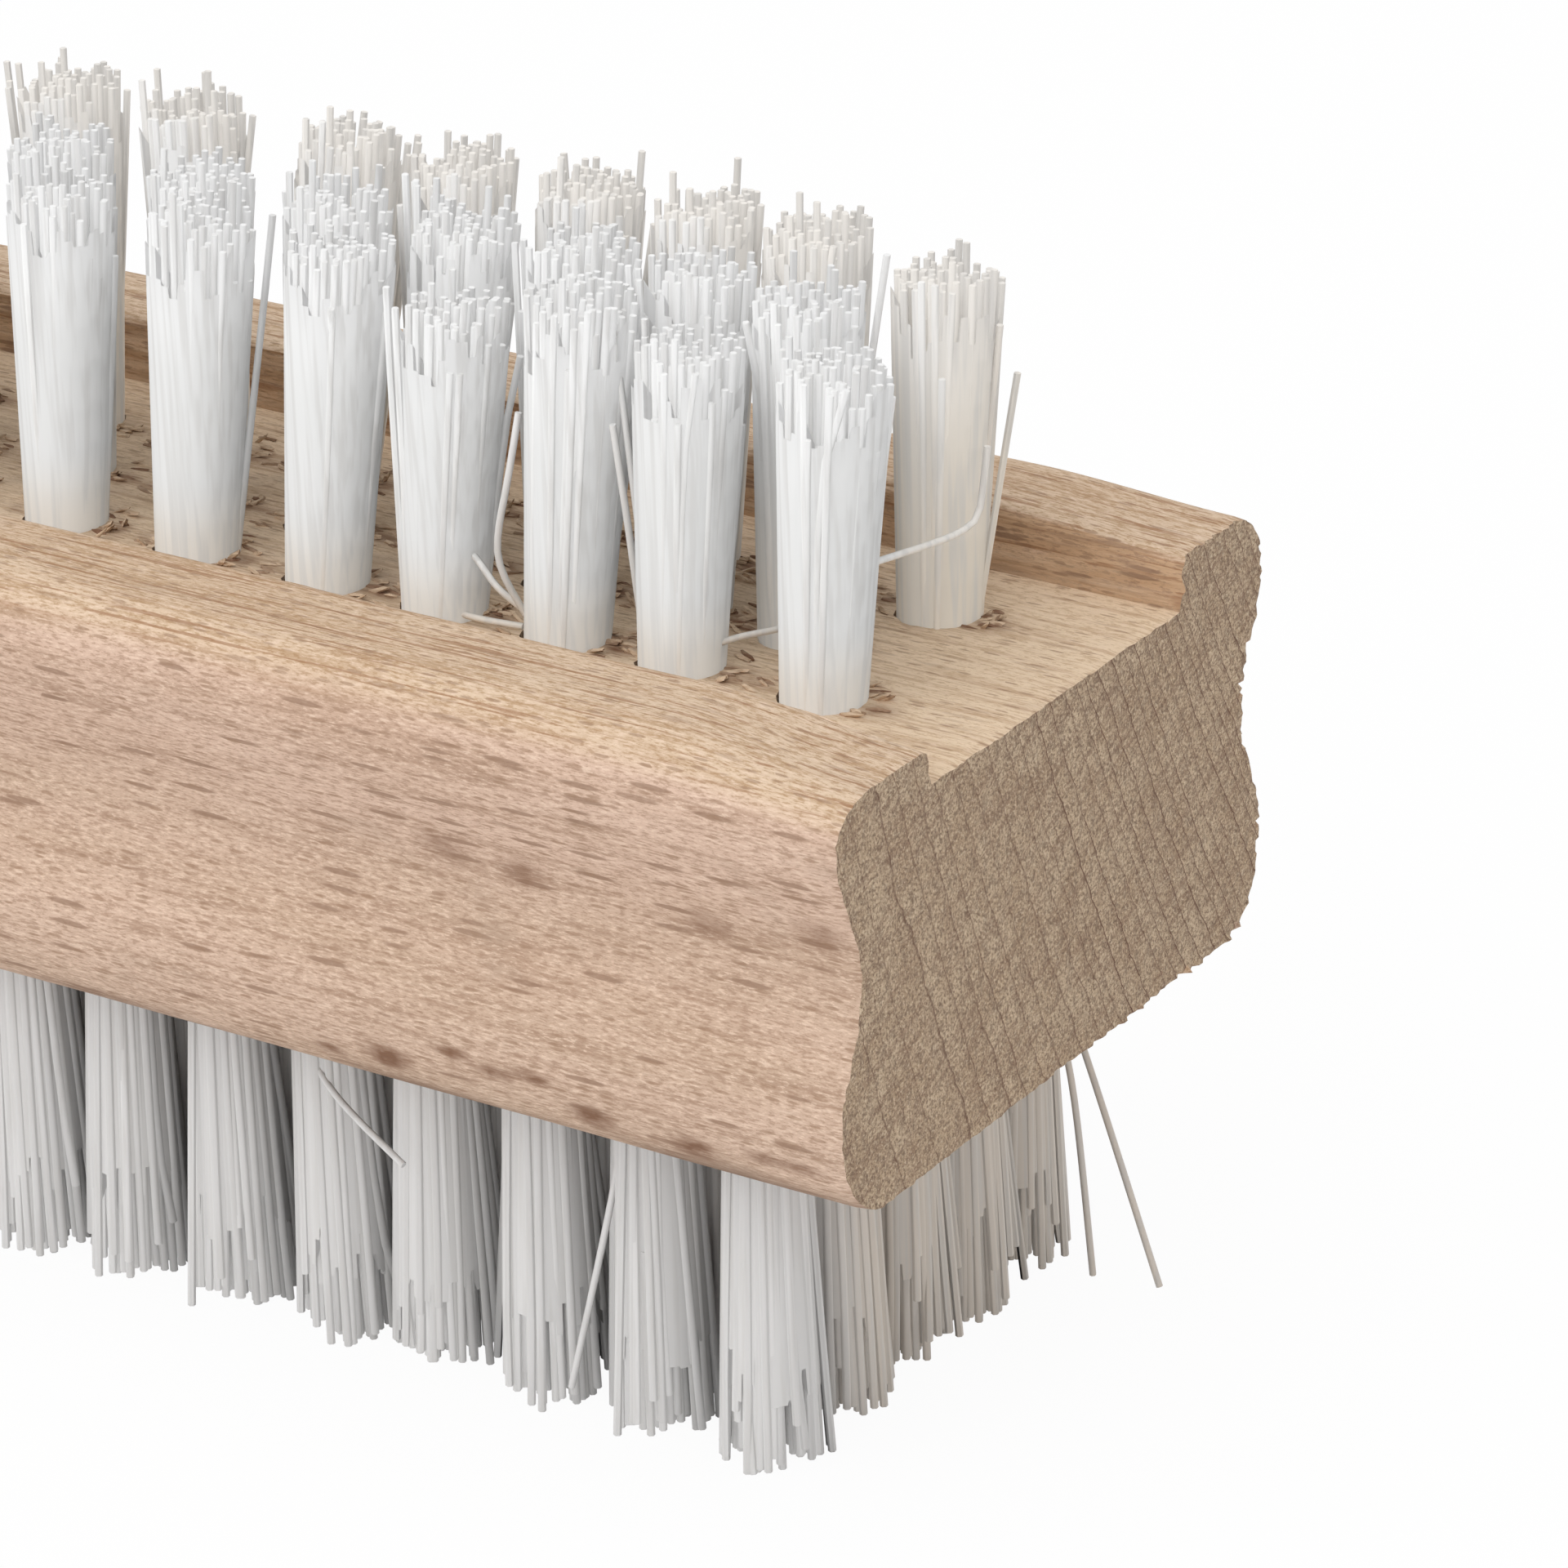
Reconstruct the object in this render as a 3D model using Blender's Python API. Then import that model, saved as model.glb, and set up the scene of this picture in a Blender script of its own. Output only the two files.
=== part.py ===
"""A two-sided nail brush: a beech block with white nylon tufts set into its top and its bottom face.

Lengths are in metres, +Z is up and +X runs along the block. The origin is under the middle of the
block, on the plane that the lower tufts stand on.
"""

import math
import random

import bmesh
import bpy

MM = 0.001

# The beech block
BLOCK_LENGTH = 92.0 * MM
BLOCK_WIDTH = 38.0 * MM
BLOCK_HEIGHT = 22.3 * MM
WAIST_DEPTH = 1.9 * MM
LOWER_BULGE_HEIGHT = 4.9 * MM
UPPER_BULGE_DROP = 3.7 * MM
LOWER_EDGE_ROUND = 3.6 * MM
RAIL_WIDTH = 8.0 * MM
RAIL_HEIGHT = 3.3 * MM
RAIL_OUTER_ROUND = 3.0 * MM
RAIL_INNER_ROUND = 0.7 * MM
RAIL_WALL_LEAN = 0.3 * MM
NEAR_RAIL_WEAR = 0.6 * MM
NEAR_END_WEAR = 1.5 * MM
FAR_END_WEAR = 0.6 * MM
END_WEAR_LENGTH = 11.0 * MM
ARC_STEPS = 5
WAIST_STEPS = 8
WEAR_STEPS = 3
SHARP_ANGLE = math.radians(40)

# Colours, as linear red, green and blue
BEECH_COLOUR = (0.56, 0.38, 0.24)
NYLON_COLOUR = (0.86, 0.85, 0.83)

# The drilled holes, whose ends leave a web of wood between the upper and the lower ones, and their tufts
HOLE_DIAMETER = 4.0 * MM
HOLE_WEB = 4.0 * MM
HOLE_SIDES = 10
FIT_GAP = 0.3 * MM
ROOT_PROUD = 0.2 * MM
END_MARGIN = 9.3 * MM
STRANDS_PER_TUFT = 5
STRAND_GAP = 0.2 * MM
TIP_GAP = 0.5 * MM

# The upper tufts: three rows, the middle one set half a pitch along
UPPER_TUFT_LENGTH = 18.2 * MM
UPPER_ROW_MARGIN = 5.5 * MM
UPPER_STATIONS = 11
UPPER_RAGGEDNESS = 3.0 * MM
UPPER_TIP_SLANT = 0.7 * MM

# The lower tufts: five rows in line, which the brush stands on
LOWER_TUFT_LENGTH = 17.2 * MM
LOWER_ROW_MARGIN = 8.0 * MM
LOWER_ROWS = 5
LOWER_STATIONS = 13
LOWER_RAGGEDNESS = 1.6 * MM

# The slice of beech that carries the inner rows of the lower tufts
SLICE_THICKNESS = 2.0 * MM
SLICE_RIM = 0.4 * MM
SLICE_ROOT_DEPTH = 1.0 * MM

# Worked out from the sizes above
HALF_LENGTH = BLOCK_LENGTH / 2
HALF_WIDTH = BLOCK_WIDTH / 2
BLOCK_BOTTOM = LOWER_TUFT_LENGTH
BLOCK_CREST = BLOCK_BOTTOM + BLOCK_HEIGHT
FLOOR_LEVEL = BLOCK_CREST - RAIL_HEIGHT
FLOOR_HALF_WIDTH = HALF_WIDTH - RAIL_WIDTH
HOLE_DEPTH = (FLOOR_LEVEL - BLOCK_BOTTOM - HOLE_WEB) / 2
ROOT_RADIUS = HOLE_DIAMETER / 2 - FIT_GAP
UPPER_ROW_SPACING = FLOOR_HALF_WIDTH - UPPER_ROW_MARGIN
LOWER_INNER_ROWS = LOWER_ROWS - 2
LOWER_ROW_SPACING = 2 * (HALF_WIDTH - LOWER_ROW_MARGIN) / (LOWER_ROWS - 1)
UPPER_PITCH = (BLOCK_LENGTH - 2 * END_MARGIN) / (UPPER_STATIONS - 1)
LOWER_PITCH = (BLOCK_LENGTH - 2 * END_MARGIN) / (LOWER_STATIONS - 1)
UPPER_TIP_RADIUS = (min(UPPER_PITCH, math.hypot(UPPER_PITCH / 2, UPPER_ROW_SPACING)) - TIP_GAP) / 2
LOWER_TIP_RADIUS = (min(LOWER_PITCH, LOWER_ROW_SPACING) - TIP_GAP) / 2
TIP_SWAY = STRAND_GAP / 2


def clear_scene():
    for obj in list(bpy.data.objects):
        bpy.data.objects.remove(obj, do_unlink=True)


def principled(name, colour, roughness, metallic=0.0):
    material = bpy.data.materials.new(name)
    material.use_nodes = True
    shader = material.node_tree.nodes["Principled BSDF"]
    shader.inputs["Base Color"].default_value = (*colour, 1.0)
    shader.inputs["Roughness"].default_value = roughness
    shader.inputs["Metallic"].default_value = metallic
    material.diffuse_color = (*colour, 1.0)
    return material


def add_object(name, bm, material, parent=None):
    """A mesh object made from bm, which is freed."""
    mesh = bpy.data.meshes.new(name)
    bm.to_mesh(mesh)
    bm.free()
    mesh.materials.append(material)
    obj = bpy.data.objects.new(name, mesh)
    obj.parent = parent
    bpy.context.scene.collection.objects.link(obj)
    return obj


def hide_helper(obj, helpers):
    """Moves a cutter or a shape to be joined into its own collection, out of every render."""
    bpy.context.scene.collection.objects.unlink(obj)
    helpers.objects.link(obj)
    obj.hide_render = True
    obj.display_type = "WIRE"


def helper_collection(name):
    helpers = bpy.data.collections.new(name)
    bpy.context.scene.collection.children.link(helpers)
    return helpers


def add_boolean(obj, name, operation, helpers):
    modifier = obj.modifiers.new(name, "BOOLEAN")
    modifier.operation = operation
    modifier.operand_type = "COLLECTION"
    modifier.collection = helpers
    modifier.solver = "EXACT"
    modifier.material_mode = "TRANSFER"


def arc(centre_y, centre_z, radius_y, radius_z, start_degrees, end_degrees):
    """Points of an elliptical arc, both ends included."""
    points = []
    for step in range(ARC_STEPS + 1):
        degrees = start_degrees + (end_degrees - start_degrees) * step / ARC_STEPS
        turn = math.radians(degrees)
        points.append((centre_y + radius_y * math.cos(turn), centre_z + radius_z * math.sin(turn)))
    return points


def waist():
    """The hollow side between the two bulges, without their own points."""
    low = BLOCK_BOTTOM + LOWER_BULGE_HEIGHT
    high = BLOCK_CREST - UPPER_BULGE_DROP
    points = []
    for step in range(1, WAIST_STEPS):
        share = step / WAIST_STEPS
        hollow = (1 - math.cos(2 * math.pi * share)) / 2
        points.append((HALF_WIDTH - WAIST_DEPTH * hollow, low + (high - low) * share))
    return points


def half_profile():
    """The far half of the block's section, as (y, z), from the bottom face up to the floor."""
    inner_wall = FLOOR_HALF_WIDTH + RAIL_WALL_LEAN
    lower_edge = arc(
        HALF_WIDTH - LOWER_EDGE_ROUND,
        BLOCK_BOTTOM + LOWER_BULGE_HEIGHT,
        LOWER_EDGE_ROUND,
        LOWER_BULGE_HEIGHT,
        -90,
        0,
    )
    outer_edge = arc(
        HALF_WIDTH - RAIL_OUTER_ROUND,
        BLOCK_CREST - UPPER_BULGE_DROP,
        RAIL_OUTER_ROUND,
        UPPER_BULGE_DROP,
        0,
        90,
    )
    inner_edge = arc(
        inner_wall + RAIL_INNER_ROUND,
        BLOCK_CREST - RAIL_INNER_ROUND,
        RAIL_INNER_ROUND,
        RAIL_INNER_ROUND,
        90,
        180,
    )
    return lower_edge + waist() + outer_edge + inner_edge + [(FLOOR_HALF_WIDTH, FLOOR_LEVEL)]


def worn(z, depth):
    """The height of a point of a rail whose crest is worn down by depth."""
    if z <= FLOOR_LEVEL:
        return z
    return z - depth * (z - FLOOR_LEVEL) / RAIL_HEIGHT


def wear_stations():
    """Each section's place along X, with how far the rails' wear has come there, from 0 to 1."""
    stations = [(-HALF_LENGTH, 0.0)]
    for step in range(WEAR_STEPS + 1):
        share = step / WEAR_STEPS
        stations.append((HALF_LENGTH - END_WEAR_LENGTH * (1 - share), share * share * (3 - 2 * share)))
    return stations


def block_shape():
    """The block's section lofted from one sawn end to the other."""
    far_half = half_profile()
    bm = bmesh.new()
    rings = []
    for x, wear in wear_stations():
        near_wear = NEAR_RAIL_WEAR + wear * (NEAR_END_WEAR - NEAR_RAIL_WEAR)
        far = [bm.verts.new((x, y, worn(z, wear * FAR_END_WEAR))) for y, z in far_half]
        near = [bm.verts.new((x, -y, worn(z, near_wear))) for y, z in reversed(far_half)]
        rings.append(far + near)
    count = len(rings[0])
    for ring, following in zip(rings, rings[1:]):
        for i in range(count):
            j = (i + 1) % count
            bm.faces.new((ring[i], following[i], following[j], ring[j]))
    bm.faces.new(rings[-1])
    bm.faces.new(reversed(rings[0]))
    bmesh.ops.recalc_face_normals(bm, faces=bm.faces)
    return bm


def box_shape(length, width, low, high):
    """A box centred on the Z axis between two heights."""
    bm = bmesh.new()
    bmesh.ops.create_cube(bm, size=1.0)
    bmesh.ops.scale(bm, vec=(length, width, high - low), verts=bm.verts)
    bmesh.ops.translate(bm, vec=(0, 0, (low + high) / 2), verts=bm.verts)
    return bm


def drill_shape():
    """A drill with its flats on the hole's true diameter. Its tip is at the hole's end, below z = 0."""
    over_run = HOLE_DIAMETER / 2
    radius = HOLE_DIAMETER / 2 / math.cos(math.pi / HOLE_SIDES)
    bm = bmesh.new()
    bmesh.ops.create_cone(
        bm,
        cap_ends=True,
        segments=HOLE_SIDES,
        radius1=radius,
        radius2=radius,
        depth=HOLE_DEPTH + over_run,
    )
    bmesh.ops.translate(bm, vec=(0, 0, (over_run - HOLE_DEPTH) / 2), verts=bm.verts)
    return bm


def shape_strand(face, tip_radius, height, slant, chance):
    """Moves the end face of one strand out to its tip.

    Spread from the tuft's axis, the gaps between strands widen with them, so no sway makes them cross.
    """
    reach = max(math.hypot(vert.co.x, vert.co.y) for vert in face.verts)
    spread = (tip_radius - TIP_SWAY) / reach
    sway_turn = chance.uniform(0, 2 * math.pi)
    sway_x = TIP_SWAY * math.cos(sway_turn)
    sway_y = TIP_SWAY * math.sin(sway_turn)
    for index, vert in enumerate(face.verts):
        drop = slant * chance.random() if index else 0.0
        vert.co.x = vert.co.x * spread + sway_x
        vert.co.y = vert.co.y * spread + sway_y
        vert.co.z = height - drop


def tuft_shape(root_depth, length, tip_radius, raggedness, slant, chance):
    """A root plug, one flat side for each strand, and three-sided strands that flare out of its top.

    The wood's face is at z = 0 and the strands run up. Every other strand has the full length.
    """
    bm = bmesh.new()
    bmesh.ops.create_cone(
        bm,
        cap_ends=True,
        segments=STRANDS_PER_TUFT,
        radius1=ROOT_RADIUS,
        radius2=ROOT_RADIUS,
        depth=root_depth + ROOT_PROUD,
    )
    bmesh.ops.translate(bm, vec=(0, 0, (ROOT_PROUD - root_depth) / 2), verts=bm.verts)
    top = max(bm.faces, key=lambda face: face.calc_center_median().z)
    fan = bmesh.ops.poke(bm, faces=[top])["faces"]
    bmesh.ops.inset_individual(bm, faces=fan, thickness=STRAND_GAP / 2, use_even_offset=True)
    strands = bmesh.ops.extrude_discrete_faces(bm, faces=fan)["faces"]
    for index, face in enumerate(strands):
        shortfall = raggedness * chance.random() if index % 2 else 0.0
        shape_strand(face, tip_radius, length - shortfall, slant, chance)
    return bm


def along(stations, pitch):
    """The places along X of a row that is centred on the block."""
    return [(index - (stations - 1) / 2) * pitch for index in range(stations)]


def upper_holes():
    """(row name, number, x, y) of every upper tuft."""
    rows = (
        ("near", -UPPER_ROW_SPACING, UPPER_STATIONS),
        ("middle", 0.0, UPPER_STATIONS - 1),
        ("far", UPPER_ROW_SPACING, UPPER_STATIONS),
    )
    return [
        (row, number, x, y)
        for row, y, stations in rows
        for number, x in enumerate(along(stations, UPPER_PITCH), 1)
    ]


def lower_rows():
    """The places along Y of the lower rows, from the near side to the far one."""
    return [(row - (LOWER_ROWS - 1) / 2) * LOWER_ROW_SPACING for row in range(LOWER_ROWS)]


def lower_outer_holes():
    """(row name, number, x, y) of the lower tufts that stand in holes of their own."""
    rows = (("near", lower_rows()[0]), ("far", lower_rows()[-1]))
    return [
        (row, number, x, y)
        for row, y in rows
        for number, x in enumerate(along(LOWER_STATIONS, LOWER_PITCH), 1)
    ]


def place(obj, x, y, z, turn, upside_down=False):
    obj.location = (x, y, z)
    obj.rotation_euler = (math.pi if upside_down else 0.0, 0.0, turn)


def drill(name, x, y, z, upside_down, material, helpers):
    cutter = add_object(name, drill_shape(), material)
    place(cutter, x, y, z, 0.0, upside_down)
    hide_helper(cutter, helpers)


def slice_size():
    """Length and width of the slice that carries the inner lower rows."""
    rim = 2 * (ROOT_RADIUS + SLICE_RIM)
    length = (LOWER_STATIONS - 1) * LOWER_PITCH + rim
    width = (LOWER_INNER_ROWS - 1) * LOWER_ROW_SPACING + rim
    return length, width


def make_block(beech, assembly):
    """The beech block, with a blind hole for each tuft and a shallow seat for the slice."""
    block = add_object("beech_block", block_shape(), beech, assembly)
    block.data.shade_smooth()
    block.data.set_sharp_from_angle(angle=SHARP_ANGLE)
    cutters = helper_collection("drills")
    for row, number, x, y in upper_holes():
        drill(f"upper_drill_{row}_{number:02d}", x, y, FLOOR_LEVEL, False, beech, cutters)
    for row, number, x, y in lower_outer_holes():
        drill(f"lower_drill_{row}_{number:02d}", x, y, BLOCK_BOTTOM, True, beech, cutters)
    length, width = slice_size()
    seat_top = BLOCK_BOTTOM + SLICE_THICKNESS + FIT_GAP
    seat = box_shape(length + 2 * FIT_GAP, width + 2 * FIT_GAP, BLOCK_BOTTOM - FIT_GAP, seat_top)
    hide_helper(add_object("slice_seat_cutter", seat, beech), cutters)
    add_boolean(block, "drilled holes", "DIFFERENCE", cutters)


def make_upper_tufts(nylon, assembly):
    for row, number, x, y in upper_holes():
        name = f"upper_tuft_{row}_{number:02d}"
        chance = random.Random(name)
        shape = tuft_shape(
            HOLE_DEPTH - FIT_GAP,
            UPPER_TUFT_LENGTH,
            UPPER_TIP_RADIUS,
            UPPER_RAGGEDNESS,
            UPPER_TIP_SLANT,
            chance,
        )
        tuft = add_object(name, shape, nylon, assembly)
        place(tuft, x, y, FLOOR_LEVEL, chance.uniform(0, 2 * math.pi))


def lower_tuft_shape(root_depth, chance):
    """A lower tuft, with its tips cut flat on the plane that the brush stands on."""
    return tuft_shape(
        root_depth, LOWER_TUFT_LENGTH, LOWER_TIP_RADIUS, LOWER_RAGGEDNESS, 0.0, chance
    )


def make_lower_outer_tufts(nylon, assembly):
    for row, number, x, y in lower_outer_holes():
        name = f"lower_tuft_{row}_{number:02d}"
        chance = random.Random(name)
        tuft = add_object(name, lower_tuft_shape(HOLE_DEPTH - FIT_GAP, chance), nylon, assembly)
        place(tuft, x, y, BLOCK_BOTTOM, chance.uniform(0, 2 * math.pi), upside_down=True)


def make_lower_inner_tufts(beech, nylon, assembly):
    """The inner lower rows, joined to the slice of beech that they stand in."""
    length, width = slice_size()
    shape = box_shape(length, width, BLOCK_BOTTOM, BLOCK_BOTTOM + SLICE_THICKNESS)
    carrier = add_object("lower_tufts_inner_rows", shape, beech, assembly)
    bundles = helper_collection("inner_bundles")
    for row, y in enumerate(lower_rows()[1:-1], 1):
        for number, x in enumerate(along(LOWER_STATIONS, LOWER_PITCH), 1):
            name = f"inner_bundle_{row}_{number:02d}"
            chance = random.Random(name)
            bundle = add_object(name, lower_tuft_shape(SLICE_ROOT_DEPTH, chance), nylon)
            place(bundle, x, y, BLOCK_BOTTOM, chance.uniform(0, 2 * math.pi), upside_down=True)
            hide_helper(bundle, bundles)
    add_boolean(carrier, "tufts", "UNION", bundles)


def main():
    clear_scene()
    assembly = bpy.data.objects.new("nail_brush", None)
    bpy.context.scene.collection.objects.link(assembly)
    beech = principled("beech", BEECH_COLOUR, 0.62)
    nylon = principled("white_nylon", NYLON_COLOUR, 0.38)
    make_block(beech, assembly)
    make_upper_tufts(nylon, assembly)
    make_lower_outer_tufts(nylon, assembly)
    make_lower_inner_tufts(beech, nylon, assembly)


main()
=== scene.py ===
import math

import bmesh
import bpy
import numpy as np
from mathutils import Matrix, Vector, noise
from mathutils.geometry import delaunay_2d_cdt


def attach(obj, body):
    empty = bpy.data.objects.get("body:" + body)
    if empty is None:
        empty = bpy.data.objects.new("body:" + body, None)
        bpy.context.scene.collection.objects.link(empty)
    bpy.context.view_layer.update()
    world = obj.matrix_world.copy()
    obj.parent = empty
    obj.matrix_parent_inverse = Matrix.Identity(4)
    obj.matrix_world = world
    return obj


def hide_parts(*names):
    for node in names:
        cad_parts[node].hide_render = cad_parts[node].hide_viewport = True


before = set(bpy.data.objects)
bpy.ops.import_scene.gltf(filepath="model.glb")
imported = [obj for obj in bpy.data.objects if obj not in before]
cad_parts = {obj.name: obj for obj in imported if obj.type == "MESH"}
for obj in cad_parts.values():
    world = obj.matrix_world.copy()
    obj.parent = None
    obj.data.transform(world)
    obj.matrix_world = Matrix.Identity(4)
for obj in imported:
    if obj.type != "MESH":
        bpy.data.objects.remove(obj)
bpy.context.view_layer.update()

MM = 0.001
BODY = "root"
WHITE = (1.0, 1.0, 1.0, 1.0)

# The block, with the sizes that part.py gives it
HALF_LENGTH = 46.0 * MM
HALF_WIDTH = 19.0 * MM
BLOCK_BOTTOM = 17.2 * MM
BLOCK_CREST = 39.5 * MM
FLOOR_LEVEL = 36.2 * MM
FLOOR_HALF_WIDTH = 11.0 * MM
WAIST_DEPTH = 1.9 * MM
LOWER_BULGE_HEIGHT = 4.9 * MM
UPPER_BULGE_DROP = 3.7 * MM
LOWER_EDGE_ROUND = 3.6 * MM
RAIL_OUTER_ROUND = 3.0 * MM
RAIL_INNER_ROUND = 0.7 * MM
RAIL_WALL_LEAN = 0.3 * MM
NEAR_RAIL_WEAR = 0.6 * MM
NEAR_END_WEAR = 1.5 * MM
FAR_END_WEAR = 0.6 * MM
END_WEAR_LENGTH = 11.0 * MM
HOLE_RADIUS = 2.0 * MM
HOLE_DEPTH = 7.5 * MM

# The rows of tufts, set out as in part.py. A lower row's first and last tufts are 73.4 mm apart
ROW_DISTANCE = 5.5 * MM
UPPER_PITCH = 7.34 * MM
UPPER_ROWS = (("near", -ROW_DISTANCE, 11), ("middle", 0.0, 10), ("far", ROW_DISTANCE, 11))
LOWER_STATIONS = 13
LOWER_PITCH = 73.4 / (LOWER_STATIONS - 1) * MM
OUTER_ROWS = (("near", -2 * ROW_DISTANCE), ("far", 2 * ROW_DISTANCE))
INNER_ROWS = (("inner_near", -ROW_DISTANCE), ("inner_middle", 0.0), ("inner_far", ROW_DISTANCE))

# How finely the block is meshed
ARC_STEPS = 12
WAIST_STEPS = 30
OUTLINE_SPACING = 0.3 * MM
STATION_SPACING = 0.7 * MM
END_GRAIN_SPACING = 0.4 * MM
END_GRAIN_JITTER = 0.3
HOLE_SIDES = 26
SHARP_ANGLE = math.radians(38)

# How rough the block is. Waves and ridges have a length along the grain and a width across it
SIDE_UNEVENNESS = 0.05 * MM
SIDE_WAVES = (9.0 * MM, 1.4 * MM)
WALL_UNEVENNESS = 0.22 * MM
WALL_RIDGES = (5.0 * MM, 0.5 * MM)
END_ROUGHNESS = 0.10 * MM
COARSE_SAW_MARKS = 1.6 * MM
FINE_SAW_MARKS = 0.5 * MM
CRUSHED_EDGE = 0.08 * MM
END_TEETH = 0.75 * MM
TOOTH_SIZE = 0.55 * MM
TOOTH_THRESHOLD = 0.2
LEAST_TORN = 0.2
TORN_FROM = -8.0 * MM
TORN_OVER = 24.0 * MM
HOLE_RAGGEDNESS = 0.16 * MM

# Marks on the near side: how dark, half their width and height in mm, and their places as (x, z) in mm
SMUDGES = (0.6, 1.3, 0.8, ((23.9, 30.6), (28.2, 30.2), (38.2, 30.0), (44.2, 31.0)))
BROWN_SPOTS = (1.1, 1.15, 0.75, ((21.1, 19.7), (32.4, 19.4), (37.8, 19.3)))
BROWN_DASHES = (
    1.0, 1.0, 0.35,
    ((17.5, 19.2), (25.0, 21.1), (27.2, 20.6), (29.3, 20.9), (41.7, 19.9), (43.6, 19.9)),
)

# Splinters at an upper hole. Each kind lies towards +X or -X, so many of them, so dark, so high in mm
# and so tilted in radians. Their darkness is painted shade of the torn crevices, most on the flat ones at
# floor level. The sizes are half lengths, widths and heights in mm
CHIP_KINDS = (
    (1, 4, 1.0, 0.0, 0.05),
    (1, 7, 0.15, 0.12, 0.45),
    (-1, 2, 0.8, 0.0, 0.05),
    (-1, 4, 0.15, 0.08, 0.35),
)
SMALLEST_CHIP = (0.35, 0.08, 0.07)
LARGEST_CHIP = (0.90, 0.20, 0.13)
CHIP_REACH = (0.1, 1.3)
CHIP_SPREAD = 0.4
CHIP_TURN = 0.25
CHIP_ROUGHNESS = 0.05

# Seeds of the random draws
PLACE_SEED = 17
DRILL_SEED = 5
CHIP_SEED = 23
END_SEED = 31
UPPER_TUFT_SEED = 100
OUTER_ROWS_SEED = 300
INNER_ROWS_SEED = 350

# The tufts: fibres that stand out of a fluted bundle, where they are packed too tightly to be told apart
ROOT_RADIUS = 1.8 * MM
ROOT_DEPTH = 2.0 * MM
UPPER_LENGTH = 17.3 * MM
UPPER_END_SHORTENING = 1.3 * MM
UPPER_END_STRETCH = 22.0 * MM
UPPER_FAR_EXTRA = 0.9 * MM
UPPER_TIP_RADIUS = 2.5 * MM
UPPER_TIP_SCATTER = 0.02
LOWER_LENGTH = 17.2 * MM
LOWER_TIP_RADIUS = 2.6 * MM
LOWER_TIP_SCATTER = 0.06
PLACE_WANDER = 0.4 * MM
LEAN_SCATTER = 0.25 * MM

# How far in mm each tuft near the photographed end stands off its even place, towards +X
OFF_PLACE = {
    "near": {5: 0.9, 6: 1.4, 7: 1.7, 8: 1.15, 9: 0.75, 10: -0.2, 11: 0.1},
    "middle": {4: 0.8, 5: 1.2, 6: 1.5, 7: 1.1, 8: 0.7, 9: 0.2, 10: -0.9},
    "far": {4: 0.8, 5: 1.3, 6: 1.6, 7: 1.5, 8: 1.2, 9: 0.8, 11: -0.4},
}
# How far in mm their tips lean past their feet, towards +X
LEANING = {
    "near": {5: 0.9, 6: 1.4, 7: 1.75, 8: 1.8, 9: 1.0, 10: 0.65, 11: 1.0},
    "middle": {4: 0.8, 5: 1.4, 6: 1.9, 7: 1.9, 8: 1.75, 9: 1.3, 10: 0.95},
    "far": {4: 0.8, 5: 1.4, 6: 2.0, 7: 2.0, 8: 1.9, 9: 1.5, 10: 0.65, 11: 0.6},
}
# How much shorter in mm they were cut
CUT_SHORTER = {
    "near": {8: 1.6, 10: 1.3},
    "middle": {},
    "far": {},
}

# The fibres of a tuft. Those past OUTER_REACH of its radius start in the hole, the others in the bundle
FIBRES_PER_TUFT = 110
FIBRE_RADIUS = 0.17 * MM
LOWER_FIBRE_RADIUS = 0.20 * MM
FIBRE_SIDES = 6
FIBRE_RINGS = 6
GOLDEN_ANGLE = math.pi * (3 - math.sqrt(5))
OUTER_REACH = 0.8
INNER_FIBRE_START = 0.5

# How the fibres bend: all bow and hook a little, some hook far more, one side splays and a few stray
BOW = 0.02 * MM
HOOK = 0.04 * MM
HOOKED_SHARE = 0.08
HOOKED_TIMES = 9.0
SPLAYED_ANGLE = 0.35
MOST_SPLAYED_TIMES = 1.4
STRAY_SHARE = 0.02
STRAY_TIMES = (1.1, 1.5)

# How unevenly the fibres were trimmed, in mm, and which shares of them are short or long
TRIM_PATCHES = 0.9
TRIM_PATCH_SCALE = 1.6
TRIM_SCATTER = 0.45
SHORT_SHARE = 0.24
SHORT_BY = (0.3, 4.0)
LONG_SHARE = 0.03
LONG_BY = (0.3, 1.6)

# The packed part of a tuft: how far up it reaches, how far it swells out, and its flutes
UPPER_BUNDLE_TOP = 0.93
UPPER_BUNDLE_SWELL = 0.14 * MM
LOWER_BUNDLE_TOP = 0.80
LOWER_BUNDLE_SWELL = -0.12 * MM
BUNDLE_RINGS = 9
FLUTES = 40
FLUTE_WIDTHS = (0.6, 1.4)
FLUTE_ENDS = (-0.12, 0.03)
FLUTE_CREST = (0.12, 0.88)
FLUTE_RELIEF = 0.03 * MM
HEART_RADIUS = 0.5
HEART_DROP = 0.12

# How strongly a fibre is shaded as its tuft's round form rather than as itself: outwards, and skywards,
# which is stronger in the last part of an upper tuft
FACING = 1.6
UPPER_OUTWARD = 0.6
UPPER_SKYWARD = 0.7
TIPS_SKYWARD = 0.6
TIPS_FROM = 0.7
TIPS_OVER = 0.25
LOWER_OUTWARD = 0.9
LOWER_SKYWARD = 0.1

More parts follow.
